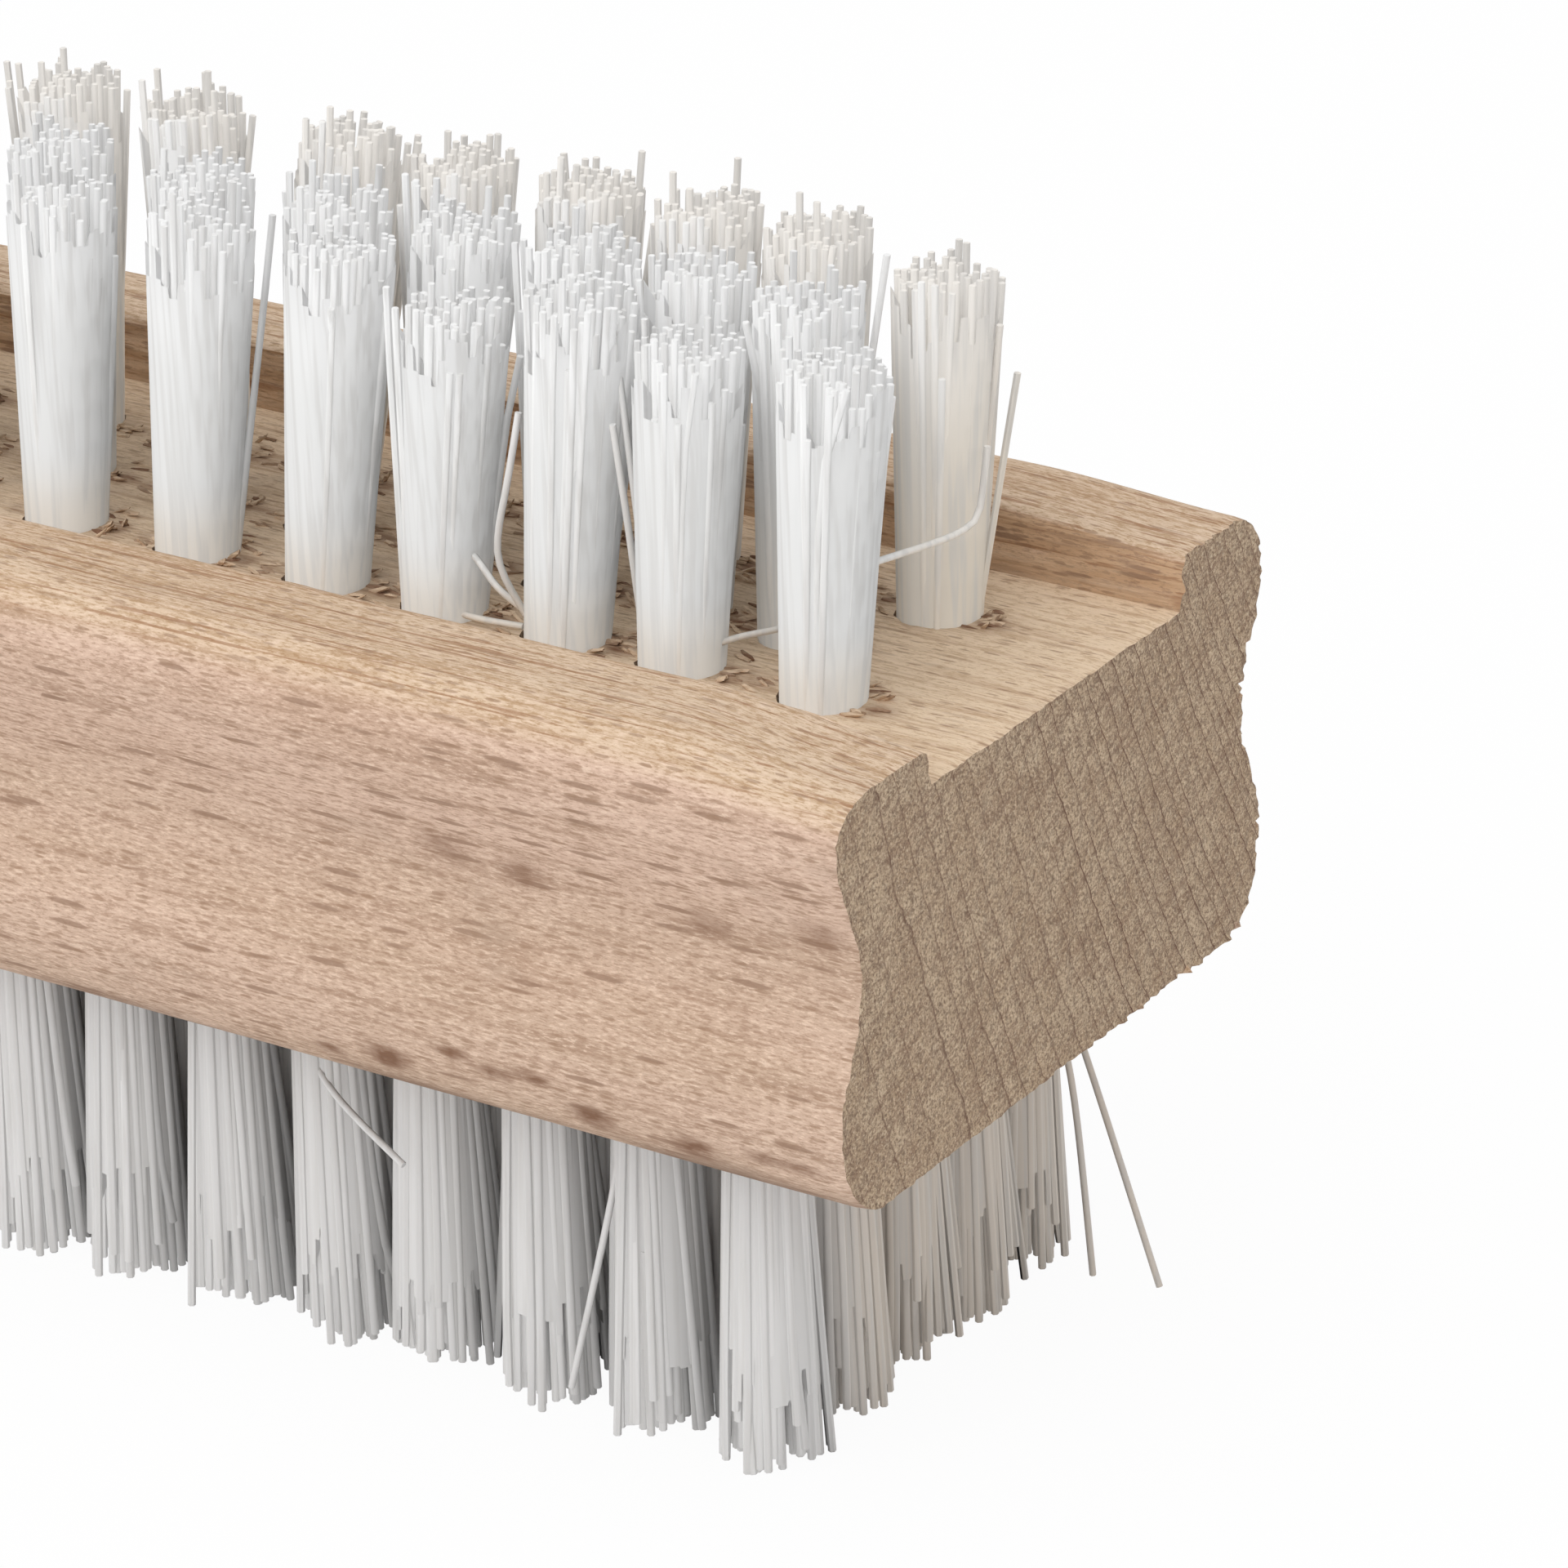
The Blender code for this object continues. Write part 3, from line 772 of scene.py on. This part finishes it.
def make_lower_bristles(nylon):
    for index, (row, number, x, y) in enumerate(lower_tufts(OUTER_ROWS)):
        name = f"{row}_{number:02d}"
        bristles = Bristles()
        add_lower_tuft(bristles, x, y, OUTER_ROWS_SEED + index)
        add_bristles(f"lower_bristles_{name}", f"lower_tuft_{name}", bristles, nylon)
    inner = Bristles()
    for index, (_, _, x, y) in enumerate(lower_tufts(INNER_ROWS)):
        add_lower_tuft(inner, x, y, INNER_ROWS_SEED + index)
    add_bristles("lower_bristles_inner_rows", "lower_tufts_inner_rows", inner, nylon)


def rounded(points):
    """A route through points in mm with its corners cut, as LOOSE_RINGS even steps in metres."""
    route = np.array(points) * MM
    for _ in range(CORNER_CUTS):
        quarter = 0.75 * route[:-1] + 0.25 * route[1:]
        three_quarters = 0.25 * route[:-1] + 0.75 * route[1:]
        inner = np.stack([quarter, three_quarters], axis=1).reshape(-1, 3)[1:-1]
        route = np.concatenate([route[:1], inner, route[-1:]])
    steps = np.linalg.norm(np.diff(route, axis=0), axis=1)
    way = np.concatenate([[0.0], np.cumsum(steps)])
    even = np.linspace(0.0, way[-1], LOOSE_RINGS)
    return np.stack([np.interp(even, way, route[:, axis]) for axis in range(3)], axis=1)


def make_loose_fibres(nylon):
    """The bent and stray fibres that stand off their tufts in the photograph."""
    paths = np.array([rounded(points) for points in LOOSE_FIBRES])
    shaded_as_itself = np.zeros_like(paths)
    bristles = Bristles()
    bristles.add_tubes(paths, FIBRE_RADIUS, shaded_as_itself)
    new_piece("loose_fibres", bristles.mesh("loose_fibres"), nylon)


class Graph:
    """Adds shader nodes to a material, each with its inputs in one call."""

    def __init__(self, name):
        self.material = bpy.data.materials.new(name)
        self.material.use_nodes = True
        self.tree = self.material.node_tree
        self.shader = self.tree.nodes["Principled BSDF"]

    def fill(self, node, inputs):
        for key, value in inputs.items():
            if isinstance(value, bpy.types.NodeSocket):
                self.tree.links.new(value, node.inputs[key])
            else:
                node.inputs[key].default_value = value

    def add(self, kind, output, inputs, **settings):
        node = self.tree.nodes.new(kind)
        for key, value in settings.items():
            setattr(node, key, value)
        self.fill(node, inputs)
        return node.outputs[output]

    def place(self):
        return self.add("ShaderNodeTexCoord", "Object", {})

    def stretch(self, along, across):
        """Places with so many cells a metre down the grain, and so many across it."""
        inputs = {"Vector": self.place(), "Scale": (along, across, across)}
        return self.add("ShaderNodeMapping", 0, inputs)

    def stretch_section(self, along, across, lean):
        """Places in the block's section with so many cells a metre along lines that lean, and across."""
        lengthwise = 200.0
        turned = self.add("ShaderNodeMapping", 0, {"Vector": self.place(), "Rotation": (lean, 0.0, 0.0)})
        return self.add("ShaderNodeMapping", 0, {"Vector": turned, "Scale": (lengthwise, along, across)})

    def stretch_upright(self, across, upward):
        """Places with so many cells a metre across the fibres, and so many along them."""
        inputs = {"Vector": self.place(), "Scale": (across, across, upward)}
        return self.add("ShaderNodeMapping", 0, inputs)

    def noise_along(self, value, scale):
        """Noise over a single value."""
        inputs = {"W": value, "Scale": scale, "Detail": 2.0}
        return self.add("ShaderNodeTexNoise", 0, inputs, noise_dimensions="1D")

    def noise(self, vector, detail=3.0, roughness=0.5):
        inputs = {"Vector": vector, "Scale": 1.0, "Detail": detail, "Roughness": roughness}
        return self.add("ShaderNodeTexNoise", 0, inputs)

    def ramp(self, value, low, high, out_low=0.0, out_high=1.0):
        """Goes softly from out_low to out_high while the value goes from low to high."""
        inputs = {"Value": value, "From Min": low, "From Max": high, "To Min": out_low, "To Max": out_high}
        return self.add("ShaderNodeMapRange", 0, inputs, interpolation_type="SMOOTHSTEP")

    def math(self, operation, first, second=0.0):
        return self.add("ShaderNodeMath", 0, {0: first, 1: second}, operation=operation)

    def times(self, first, second):
        return self.math("MULTIPLY", first, second)

    def plus(self, first, second):
        return self.math("ADD", first, second)

    def axis(self, vector, name):
        return self.add("ShaderNodeSeparateXYZ", name, {"Vector": vector})

    def mix(self, share, first, second):
        return self.add("ShaderNodeMix", 2, {0: share, 6: first, 7: second}, data_type="RGBA")

    def give_way(self, share, other):
        """Lets another shader take the place of the material's own by a share."""
        mixed = self.add("ShaderNodeMixShader", 0, {0: share, 1: self.shader.outputs[0], 2: other})
        self.fill(self.tree.nodes["Material Output"], {"Surface": mixed})


def linear(red, green, blue):
    """An 8-bit sRGB colour as linear red, green, blue and alpha."""
    channels = []
    for value in (red, green, blue):
        value /= 255
        channels.append(value / 12.92 if value <= 0.04045 else ((value + 0.055) / 1.055) ** 2.4)
    return (*channels, 1.0)


def flecks(graph, along, across, share, size):
    """Soft lens-shaped dashes along the grain, one in some cells of a stretched pattern."""
    node = graph.tree.nodes.new("ShaderNodeTexVoronoi")
    graph.fill(node, {"Vector": graph.stretch(along, across), "Scale": 1.0, "Randomness": 0.9})
    chosen = graph.ramp(graph.axis(node.outputs["Color"], "X"), 1 - share, 1 - share + 0.04)
    dash = graph.ramp(node.outputs["Distance"], size * 0.65, size, 1.0, 0.0)
    return graph.times(chosen, dash)


def ring_turns(graph, width):
    """How many ring widths each point of an end lies from its middle, along a bent and uneven measure."""
    upward = graph.math("SUBTRACT", graph.axis(graph.place(), "Z"), RING_CENTRE_HEIGHT)
    slant = graph.plus(graph.times(width, RING_FANNING), RING_SLANT)
    depth = graph.plus(graph.times(width, RING_ACROSS), graph.times(upward, slant))
    crowded = graph.times(graph.times(depth, depth), RING_CROWDING)
    wobble = graph.times(graph.noise(graph.stretch(0.0, 260.0), 2.0), 0.7 * MM)
    jitter = graph.times(graph.noise(graph.stretch(0.0, 2600.0), 1.0), 0.12 * MM)
    uneven = graph.times(graph.noise_along(depth, 260.0), 2.6 * MM)
    depth = graph.plus(graph.plus(depth, crowded), graph.plus(wobble, jitter))
    return graph.math("DIVIDE", graph.plus(depth, uneven), RING_SPACING)


def ring_lines(graph):
    """The growth rings on an end: thin uneven leaning lines, closer and darker towards the far side."""
    width = graph.axis(graph.place(), "Y")
    turns = ring_turns(graph, width)
    phase = graph.math("FRACT", turns)
    line = graph.ramp(phase, 0.90, 0.97)
    late_wood = graph.ramp(phase, 0.45, 0.95, 0.0, 0.22)
    ring = graph.math("FLOOR", turns)
    chance = graph.add("ShaderNodeTexWhiteNoise", 0, {"W": ring}, noise_dimensions="1D")
    weight = graph.ramp(chance, 0.0, 1.0, 0.55, 1.0)
    weight = graph.times(weight, graph.ramp(width, -14.0 * MM, 4.0 * MM, 0.65, 1.0))
    return graph.times(graph.math("MAXIMUM", line, late_wood), weight)


def end_colour(graph):
    """Rough-sawn end grain: grey-brown and granular, with leaning rings, faint rays and dark pits."""
    patches = graph.noise(graph.stretch(200.0, 420.0), 3.0)
    coarse = graph.noise(graph.stretch(1500.0, 1900.0), 3.0, 0.7)
    grain = graph.noise(graph.stretch(5500.0, 6200.0), 4.0, 0.8)
    rays = graph.noise(graph.stretch_section(300.0, 2600.0, RAY_LEAN), 2.0)
    colour = graph.mix(graph.ramp(patches, 0.35, 0.65), linear(206, 181, 152), linear(190, 163, 134))
    colour = graph.mix(graph.ramp(coarse, 0.48, 0.60, 0.0, 0.65), colour, linear(148, 125, 104))
    colour = graph.mix(graph.ramp(rays, 0.50, 0.64, 0.0, 0.5), colour, linear(150, 119, 96))
    colour = graph.mix(graph.ramp(grain, 0.50, 0.59, 0.0, 0.85), colour, linear(124, 100, 80))
    colour = graph.mix(graph.ramp(grain, 0.46, 0.37, 0.0, 0.85), colour, linear(226, 207, 180))
    colour = graph.mix(graph.times(ring_lines(graph), 0.95), colour, linear(98, 60, 42))
    pits = flecks(graph, 700.0, 700.0, 0.10, 0.22)
    return graph.mix(graph.times(pits, 0.6), colour, linear(96, 60, 42))


def side_shares(graph):
    """How far each point faces up, lies in the channel and lies on its far wall, each from 0 to 1."""
    height = graph.axis(graph.place(), "Z")
    width = graph.axis(graph.place(), "Y")
    normal = graph.add("ShaderNodeNewGeometry", "Normal", {})
    top = graph.ramp(graph.axis(normal, "Z"), 0.35, 0.85)
    between = graph.ramp(graph.math("ABSOLUTE", width), FLOOR_HALF_WIDTH + 0.2 * MM, FLOOR_HALF_WIDTH)
    above = graph.ramp(height, FLOOR_LEVEL - 1 * MM, FLOOR_LEVEL - 0.5 * MM)
    inside = graph.times(between, above)
    wall = graph.ramp(width, FLOOR_HALF_WIDTH - 0.2 * MM, FLOOR_HALF_WIDTH)
    wall = graph.times(wall, graph.ramp(width, 13.0 * MM, 12.6 * MM))
    wall = graph.times(wall, graph.math("SUBTRACT", 1.0, top))
    return top, inside, wall


def bare_side(graph, top, inside, wall):
    """Pinkish beech in broad patches, duller low down, yellower on top and palest in the channel."""
    height = graph.axis(graph.place(), "Z")
    patches = graph.ramp(graph.noise(graph.stretch(30.0, 190.0), 3.0), 0.35, 0.65)
    front = graph.mix(patches, linear(218, 188, 168), linear(204, 173, 151))
    lower_front = graph.mix(patches, linear(210, 181, 160), linear(198, 170, 147))
    front = graph.mix(graph.ramp(height, 34.0 * MM, 28.0 * MM), front, lower_front)
    upper = graph.mix(patches, linear(222, 197, 170), linear(214, 186, 157))
    colour = graph.mix(top, front, upper)
    colour = graph.mix(inside, colour, linear(238, 214, 184))
    return graph.mix(wall, colour, linear(208, 173, 139))


def with_fibres(graph, colour, top, wall):
    """Adds the fuzzy fibres of side grain, dark ones and, off the wall, bright ones: pale fibres with
    painted sparkle of light.
    """
    dark = graph.mix(top, linear(162, 130, 107), linear(168, 130, 90))
    streaks = graph.noise(graph.stretch(130.0, 2300.0), 4.0, 0.62)
    grain = graph.noise(graph.stretch(1900.0, 8000.0), 3.0, 0.7)
    colour = graph.mix(graph.ramp(streaks, 0.48, 0.64, 0.0, 0.5), colour, dark)
    colour = graph.mix(graph.ramp(grain, 0.50, 0.62, 0.0, 0.6), colour, dark)
    # Pale fibres, partly painted sparkle of light
    pale_fibres_and_sparkle = graph.times(graph.ramp(grain, 0.46, 0.36, 0.0, 0.6), graph.math("SUBTRACT", 1.0, wall))
    return graph.mix(pale_fibres_and_sparkle, colour, linear(236, 210, 188))


def with_lines(graph, colour, top, inside, wall):
    """Adds fine brown lines on top and on the channel's wall, softer inside the channel."""
    lines = graph.noise(graph.stretch(100.0, 3800.0), 3.0, 0.55)
    share = graph.times(graph.ramp(lines, 0.56, 0.64), graph.math("MAXIMUM", top, wall))
    share = graph.times(share, graph.ramp(inside, 0.0, 1.0, 0.65, 0.45))
    colour = graph.mix(share, colour, linear(152, 106, 70))
    return graph.mix(graph.times(inside, 0.35), colour, linear(218, 192, 163))


def with_marks(graph, colour, top):
    """Adds large and small flecks, patches of grime, and a darker brown band along the lower edge."""
    below_top = graph.ramp(top, 0.0, 1.0, 1.0, 0.4)
    large = graph.times(flecks(graph, 270.0, 2200.0, 0.30, 0.37), below_top)
    colour = graph.mix(graph.times(large, 0.75), colour, linear(148, 117, 95))
    small = flecks(graph, 800.0, 4200.0, 0.30, 0.42)
    colour = graph.mix(graph.times(small, 0.6), colour, linear(156, 124, 99))
    grime = graph.noise(graph.stretch(90.0, 160.0), 4.0, 0.6)
    colour = graph.mix(graph.ramp(grime, 0.58, 0.75, 0.0, 0.5), colour, linear(174, 150, 130))
    height = graph.axis(graph.place(), "Z")
    # Darker brown towards the lower edge, in patches
    edge = graph.ramp(height, BLOCK_BOTTOM + 0.3 * MM, BLOCK_BOTTOM + 2.0 * MM, 1.0, 0.0)
    darker_lower_edge = graph.times(edge, graph.ramp(grime, 0.38, 0.62))
    return graph.mix(graph.times(darker_lower_edge, 0.7), colour, linear(112, 80, 58))


def side_colour(graph):
    """Side grain: pinkish beech with fuzzy fibres and soft flecks, yellower and finer lined on top."""
    top, inside, wall = side_shares(graph)
    colour = bare_side(graph, top, inside, wall)
    colour = with_fibres(graph, colour, top, wall)
    colour = with_lines(graph, colour, top, inside, wall)
    return with_marks(graph, colour, top)


def beech_material():
    """Side grain and end grain, with the stains and the painted shade in and beside the holes that
    paint_block stores.
    """
    graph = Graph("beech")
    true_normal = graph.add("ShaderNodeNewGeometry", "True Normal", {})
    end_share = graph.ramp(graph.math("ABSOLUTE", graph.axis(true_normal, "X")), 0.55, 0.80)
    colour = graph.mix(end_share, side_colour(graph), end_colour(graph))
    # Real stains, and painted shade beside the upper holes and on the splinters
    stain_and_shade = graph.add("ShaderNodeAttribute", "Fac", {}, attribute_name="stain_and_shade")
    patchy = graph.ramp(graph.noise(graph.stretch(700.0, 1800.0), 3.0, 0.6), 0.35, 0.65, 0.6, 1.0)
    colour = graph.mix(graph.times(stain_and_shade, patchy), colour, linear(128, 92, 68))
    # Painted shade inside the drilled holes
    hollow = graph.add("ShaderNodeAttribute", "Fac", {}, attribute_name="hollow")
    colour = graph.mix(graph.times(hollow, 0.75), colour, linear(92, 62, 42))
    fibres = graph.noise(graph.stretch(900.0, 4500.0), 3.0, 0.6)
    sawn = graph.noise(graph.stretch(3000.0, 4200.0), 4.0, 0.7)
    relief = graph.add("ShaderNodeMix", 0, {0: end_share, 2: fibres, 3: sawn}, data_type="FLOAT")
    strength = graph.ramp(end_share, 0.0, 1.0, 0.5, 0.75)
    bump = graph.add("ShaderNodeBump", 0, {"Strength": strength, "Distance": 0.16 * MM, "Height": relief})
    graph.fill(graph.shader, {"Base Color": colour, "Roughness": 0.8, "Normal": bump})
    return graph.material


def wood_reflection_and_shade(graph, height, upper):
    """How far the fibres take a warm tint of painted reflection of the wood and painted shade: most at the
    upper feet and in the rows that lie further back.
    """
    width = graph.axis(graph.place(), "Y")
    above = graph.ramp(height, FLOOR_LEVEL + 0.5 * MM, FLOOR_LEVEL + 4.5 * MM, 0.5, 0.0)
    middle_row = graph.ramp(width, -3.5 * MM, -1.5 * MM)
    middle_warmth = graph.ramp(height, FLOOR_LEVEL + 1 * MM, FLOOR_LEVEL + 12 * MM, 0.6, 0.0)
    above = graph.math("MAXIMUM", above, graph.times(middle_row, middle_warmth))
    far_row = graph.ramp(width, 2.0 * MM, 4.0 * MM)
    far_warmth = graph.ramp(height, FLOOR_LEVEL + 2 * MM, FLOOR_LEVEL + 17 * MM, 0.85, 0.35)
    above = graph.math("MAXIMUM", above, graph.times(far_row, far_warmth))
    below = graph.ramp(width, -9.0 * MM, -5.0 * MM, 0.0, 0.6)
    lower = graph.math("SUBTRACT", 1.0, upper)
    return graph.plus(graph.times(above, upper), graph.times(below, lower))


def let_light_through(graph):
    """Lets most of the lamps' rays and of the scattered light pass, as milky fibre does."""
    ray = graph.tree.nodes.new("ShaderNodeLightPath")
    direct = graph.times(ray.outputs["Is Shadow Ray"], 0.95)
    scattered = graph.times(ray.outputs["Is Diffuse Ray"], 0.82)
    clear = graph.add("ShaderNodeBsdfTransparent", 0, {"Color": WHITE})
    graph.give_way(graph.math("MAXIMUM", direct, scattered), clear)


def nylon_material():
    """Milky fibre that lets most light through, each a little lighter or darker, with painted light on the
    upper tips, painted shade on the lower tufts and a warm tint of painted reflection and shade near the
    wood.
    """
    graph = Graph("nylon")
    chance = graph.add("ShaderNodeNewGeometry", "Random Per Island", {})
    height = graph.axis(graph.place(), "Z")
    upper = graph.ramp(height, BLOCK_BOTTOM, BLOCK_BOTTOM + 0.2 * MM)
    above = graph.mix(chance, linear(226, 226, 225), linear(244, 244, 243))
    # Painted light: the upper tips are paler, as if lit more fully
    lit_tips = graph.ramp(height, FLOOR_LEVEL + 9 * MM, FLOOR_LEVEL + 16 * MM, 0.0, 0.6)
    above = graph.mix(lit_tips, above, linear(253, 253, 253))
    # Painted shade: the lower tufts, under the block, take a darker copy of the same white
    below = graph.mix(chance, linear(217, 216, 215), linear(235, 234, 233))
    colour = graph.mix(upper, below, above)
    # Painted reflection of the wood, and painted shade, tint the fibres warm
    reflection_and_shade_colour = graph.mix(upper, linear(228, 212, 192), linear(242, 228, 208))
    colour = graph.mix(wood_reflection_and_shade(graph, height, upper), colour, reflection_and_shade_colour)
    streaks = graph.noise(graph.stretch_upright(2600.0, 45.0), 2.0)
    colour = graph.mix(graph.ramp(streaks, 0.42, 0.66, 0.0, 0.45), colour, linear(210, 208, 205))
    graph.fill(graph.shader, {"Base Color": colour, "Roughness": 0.4, "IOR": 1.3})
    let_light_through(graph)
    return graph.material


def floor_material():
    """Pale, and nearly white to the camera, with a trace of the brush's own soft shadow."""
    graph = Graph("pale_floor")
    graph.fill(graph.shader, {"Base Color": FLOOR_COLOUR, "Roughness": 0.9})
    ray = graph.tree.nodes.new("ShaderNodeLightPath")
    seen = graph.math("MAXIMUM", ray.outputs["Is Camera Ray"], ray.outputs["Is Glossy Ray"])
    seen = graph.math("MAXIMUM", seen, ray.outputs["Is Transmission Ray"])
    glow = graph.add("ShaderNodeEmission", 0, {"Color": WHITE, "Strength": 1.0})
    graph.give_way(graph.times(seen, FLOOR_GLOW), glow)
    return graph.material


def make_floor():
    bm = bmesh.new()
    bmesh.ops.create_grid(bm, x_segments=1, y_segments=1, size=FLOOR_SIZE)
    mesh = bpy.data.meshes.new("floor")
    bm.to_mesh(mesh)
    bm.free()
    mesh.materials.append(floor_material())
    floor = bpy.data.objects.new("floor", mesh)
    bpy.context.scene.collection.objects.link(floor)


def make_world():
    """Even light all round, and plain white wherever the camera sees past the floor."""
    world = bpy.data.worlds.new("studio")
    bpy.context.scene.world = world
    world.use_nodes = True
    tree = world.node_tree
    light = tree.nodes["Background"]
    light.inputs["Color"].default_value = WHITE
    light.inputs["Strength"].default_value = WORLD_LIGHT
    white = tree.nodes.new("ShaderNodeBackground")
    white.inputs["Color"].default_value = WHITE
    white.inputs["Strength"].default_value = 1.0
    ray = tree.nodes.new("ShaderNodeLightPath")
    mix = tree.nodes.new("ShaderNodeMixShader")
    tree.links.new(ray.outputs["Is Camera Ray"], mix.inputs[0])
    tree.links.new(light.outputs[0], mix.inputs[1])
    tree.links.new(white.outputs[0], mix.inputs[2])
    tree.links.new(mix.outputs[0], tree.nodes["World Output"].inputs["Surface"])


def add_lamp(name, direction, distance, size, level):
    """A square lamp aimed at the brush. At level 1 it lights a facing surface to its own colour."""
    towards = Vector(direction).normalized()
    data = bpy.data.lights.new(name, "AREA")
    data.size = size
    data.energy = level * math.pi**2 * distance**2
    lamp = bpy.data.objects.new(name, data)
    lamp.location = Vector(LAMP_TARGET) + towards * distance
    lamp.rotation_euler = towards.to_track_quat("Z", "Y").to_euler()
    bpy.context.scene.collection.objects.link(lamp)


def make_lights():
    make_world()
    add_lamp("overhead", direction=(-0.10, -0.40, 0.90), distance=1.0, size=1.2, level=0.65)
    add_lamp("front", direction=(-0.40, -0.88, 0.25), distance=1.0, size=0.8, level=0.15)


def make_camera():
    azimuth, elevation = CAMERA_AZIMUTH, CAMERA_ELEVATION
    back = Vector((
        math.sin(azimuth) * math.cos(elevation),
        -math.cos(azimuth) * math.cos(elevation),
        math.sin(elevation),
    ))
    right = (-back).cross(Vector((0, 0, 1))).normalized()
    up = right.cross(-back)
    end_middle = Vector((HALF_LENGTH, 0.0, BLOCK_BOTTOM + LOWER_BULGE_HEIGHT))
    place = end_middle + back * CAMERA_DISTANCE + right * CAMERA_RIGHT + up * CAMERA_UP
    rolled_right = right * math.cos(CAMERA_ROLL) + up * math.sin(CAMERA_ROLL)
    rolled_up = up * math.cos(CAMERA_ROLL) - right * math.sin(CAMERA_ROLL)
    data = bpy.data.cameras.new("camera")
    data.lens = CAMERA_LENS
    data.sensor_width = CAMERA_SENSOR
    data.clip_start = 0.01
    camera = bpy.data.objects.new("camera", data)
    turn = Matrix((rolled_right, rolled_up, back)).transposed().to_4x4()
    camera.matrix_world = Matrix.Translation(place) @ turn
    bpy.context.scene.collection.objects.link(camera)
    bpy.context.scene.camera = camera


make_camera()
beech = beech_material()
nylon = nylon_material()
make_block(beech)
make_chips(beech)
make_upper_bristles(nylon)
make_lower_bristles(nylon)
make_loose_fibres(nylon)
make_floor()
make_lights()
bpy.context.scene.view_settings.view_transform = "Standard"
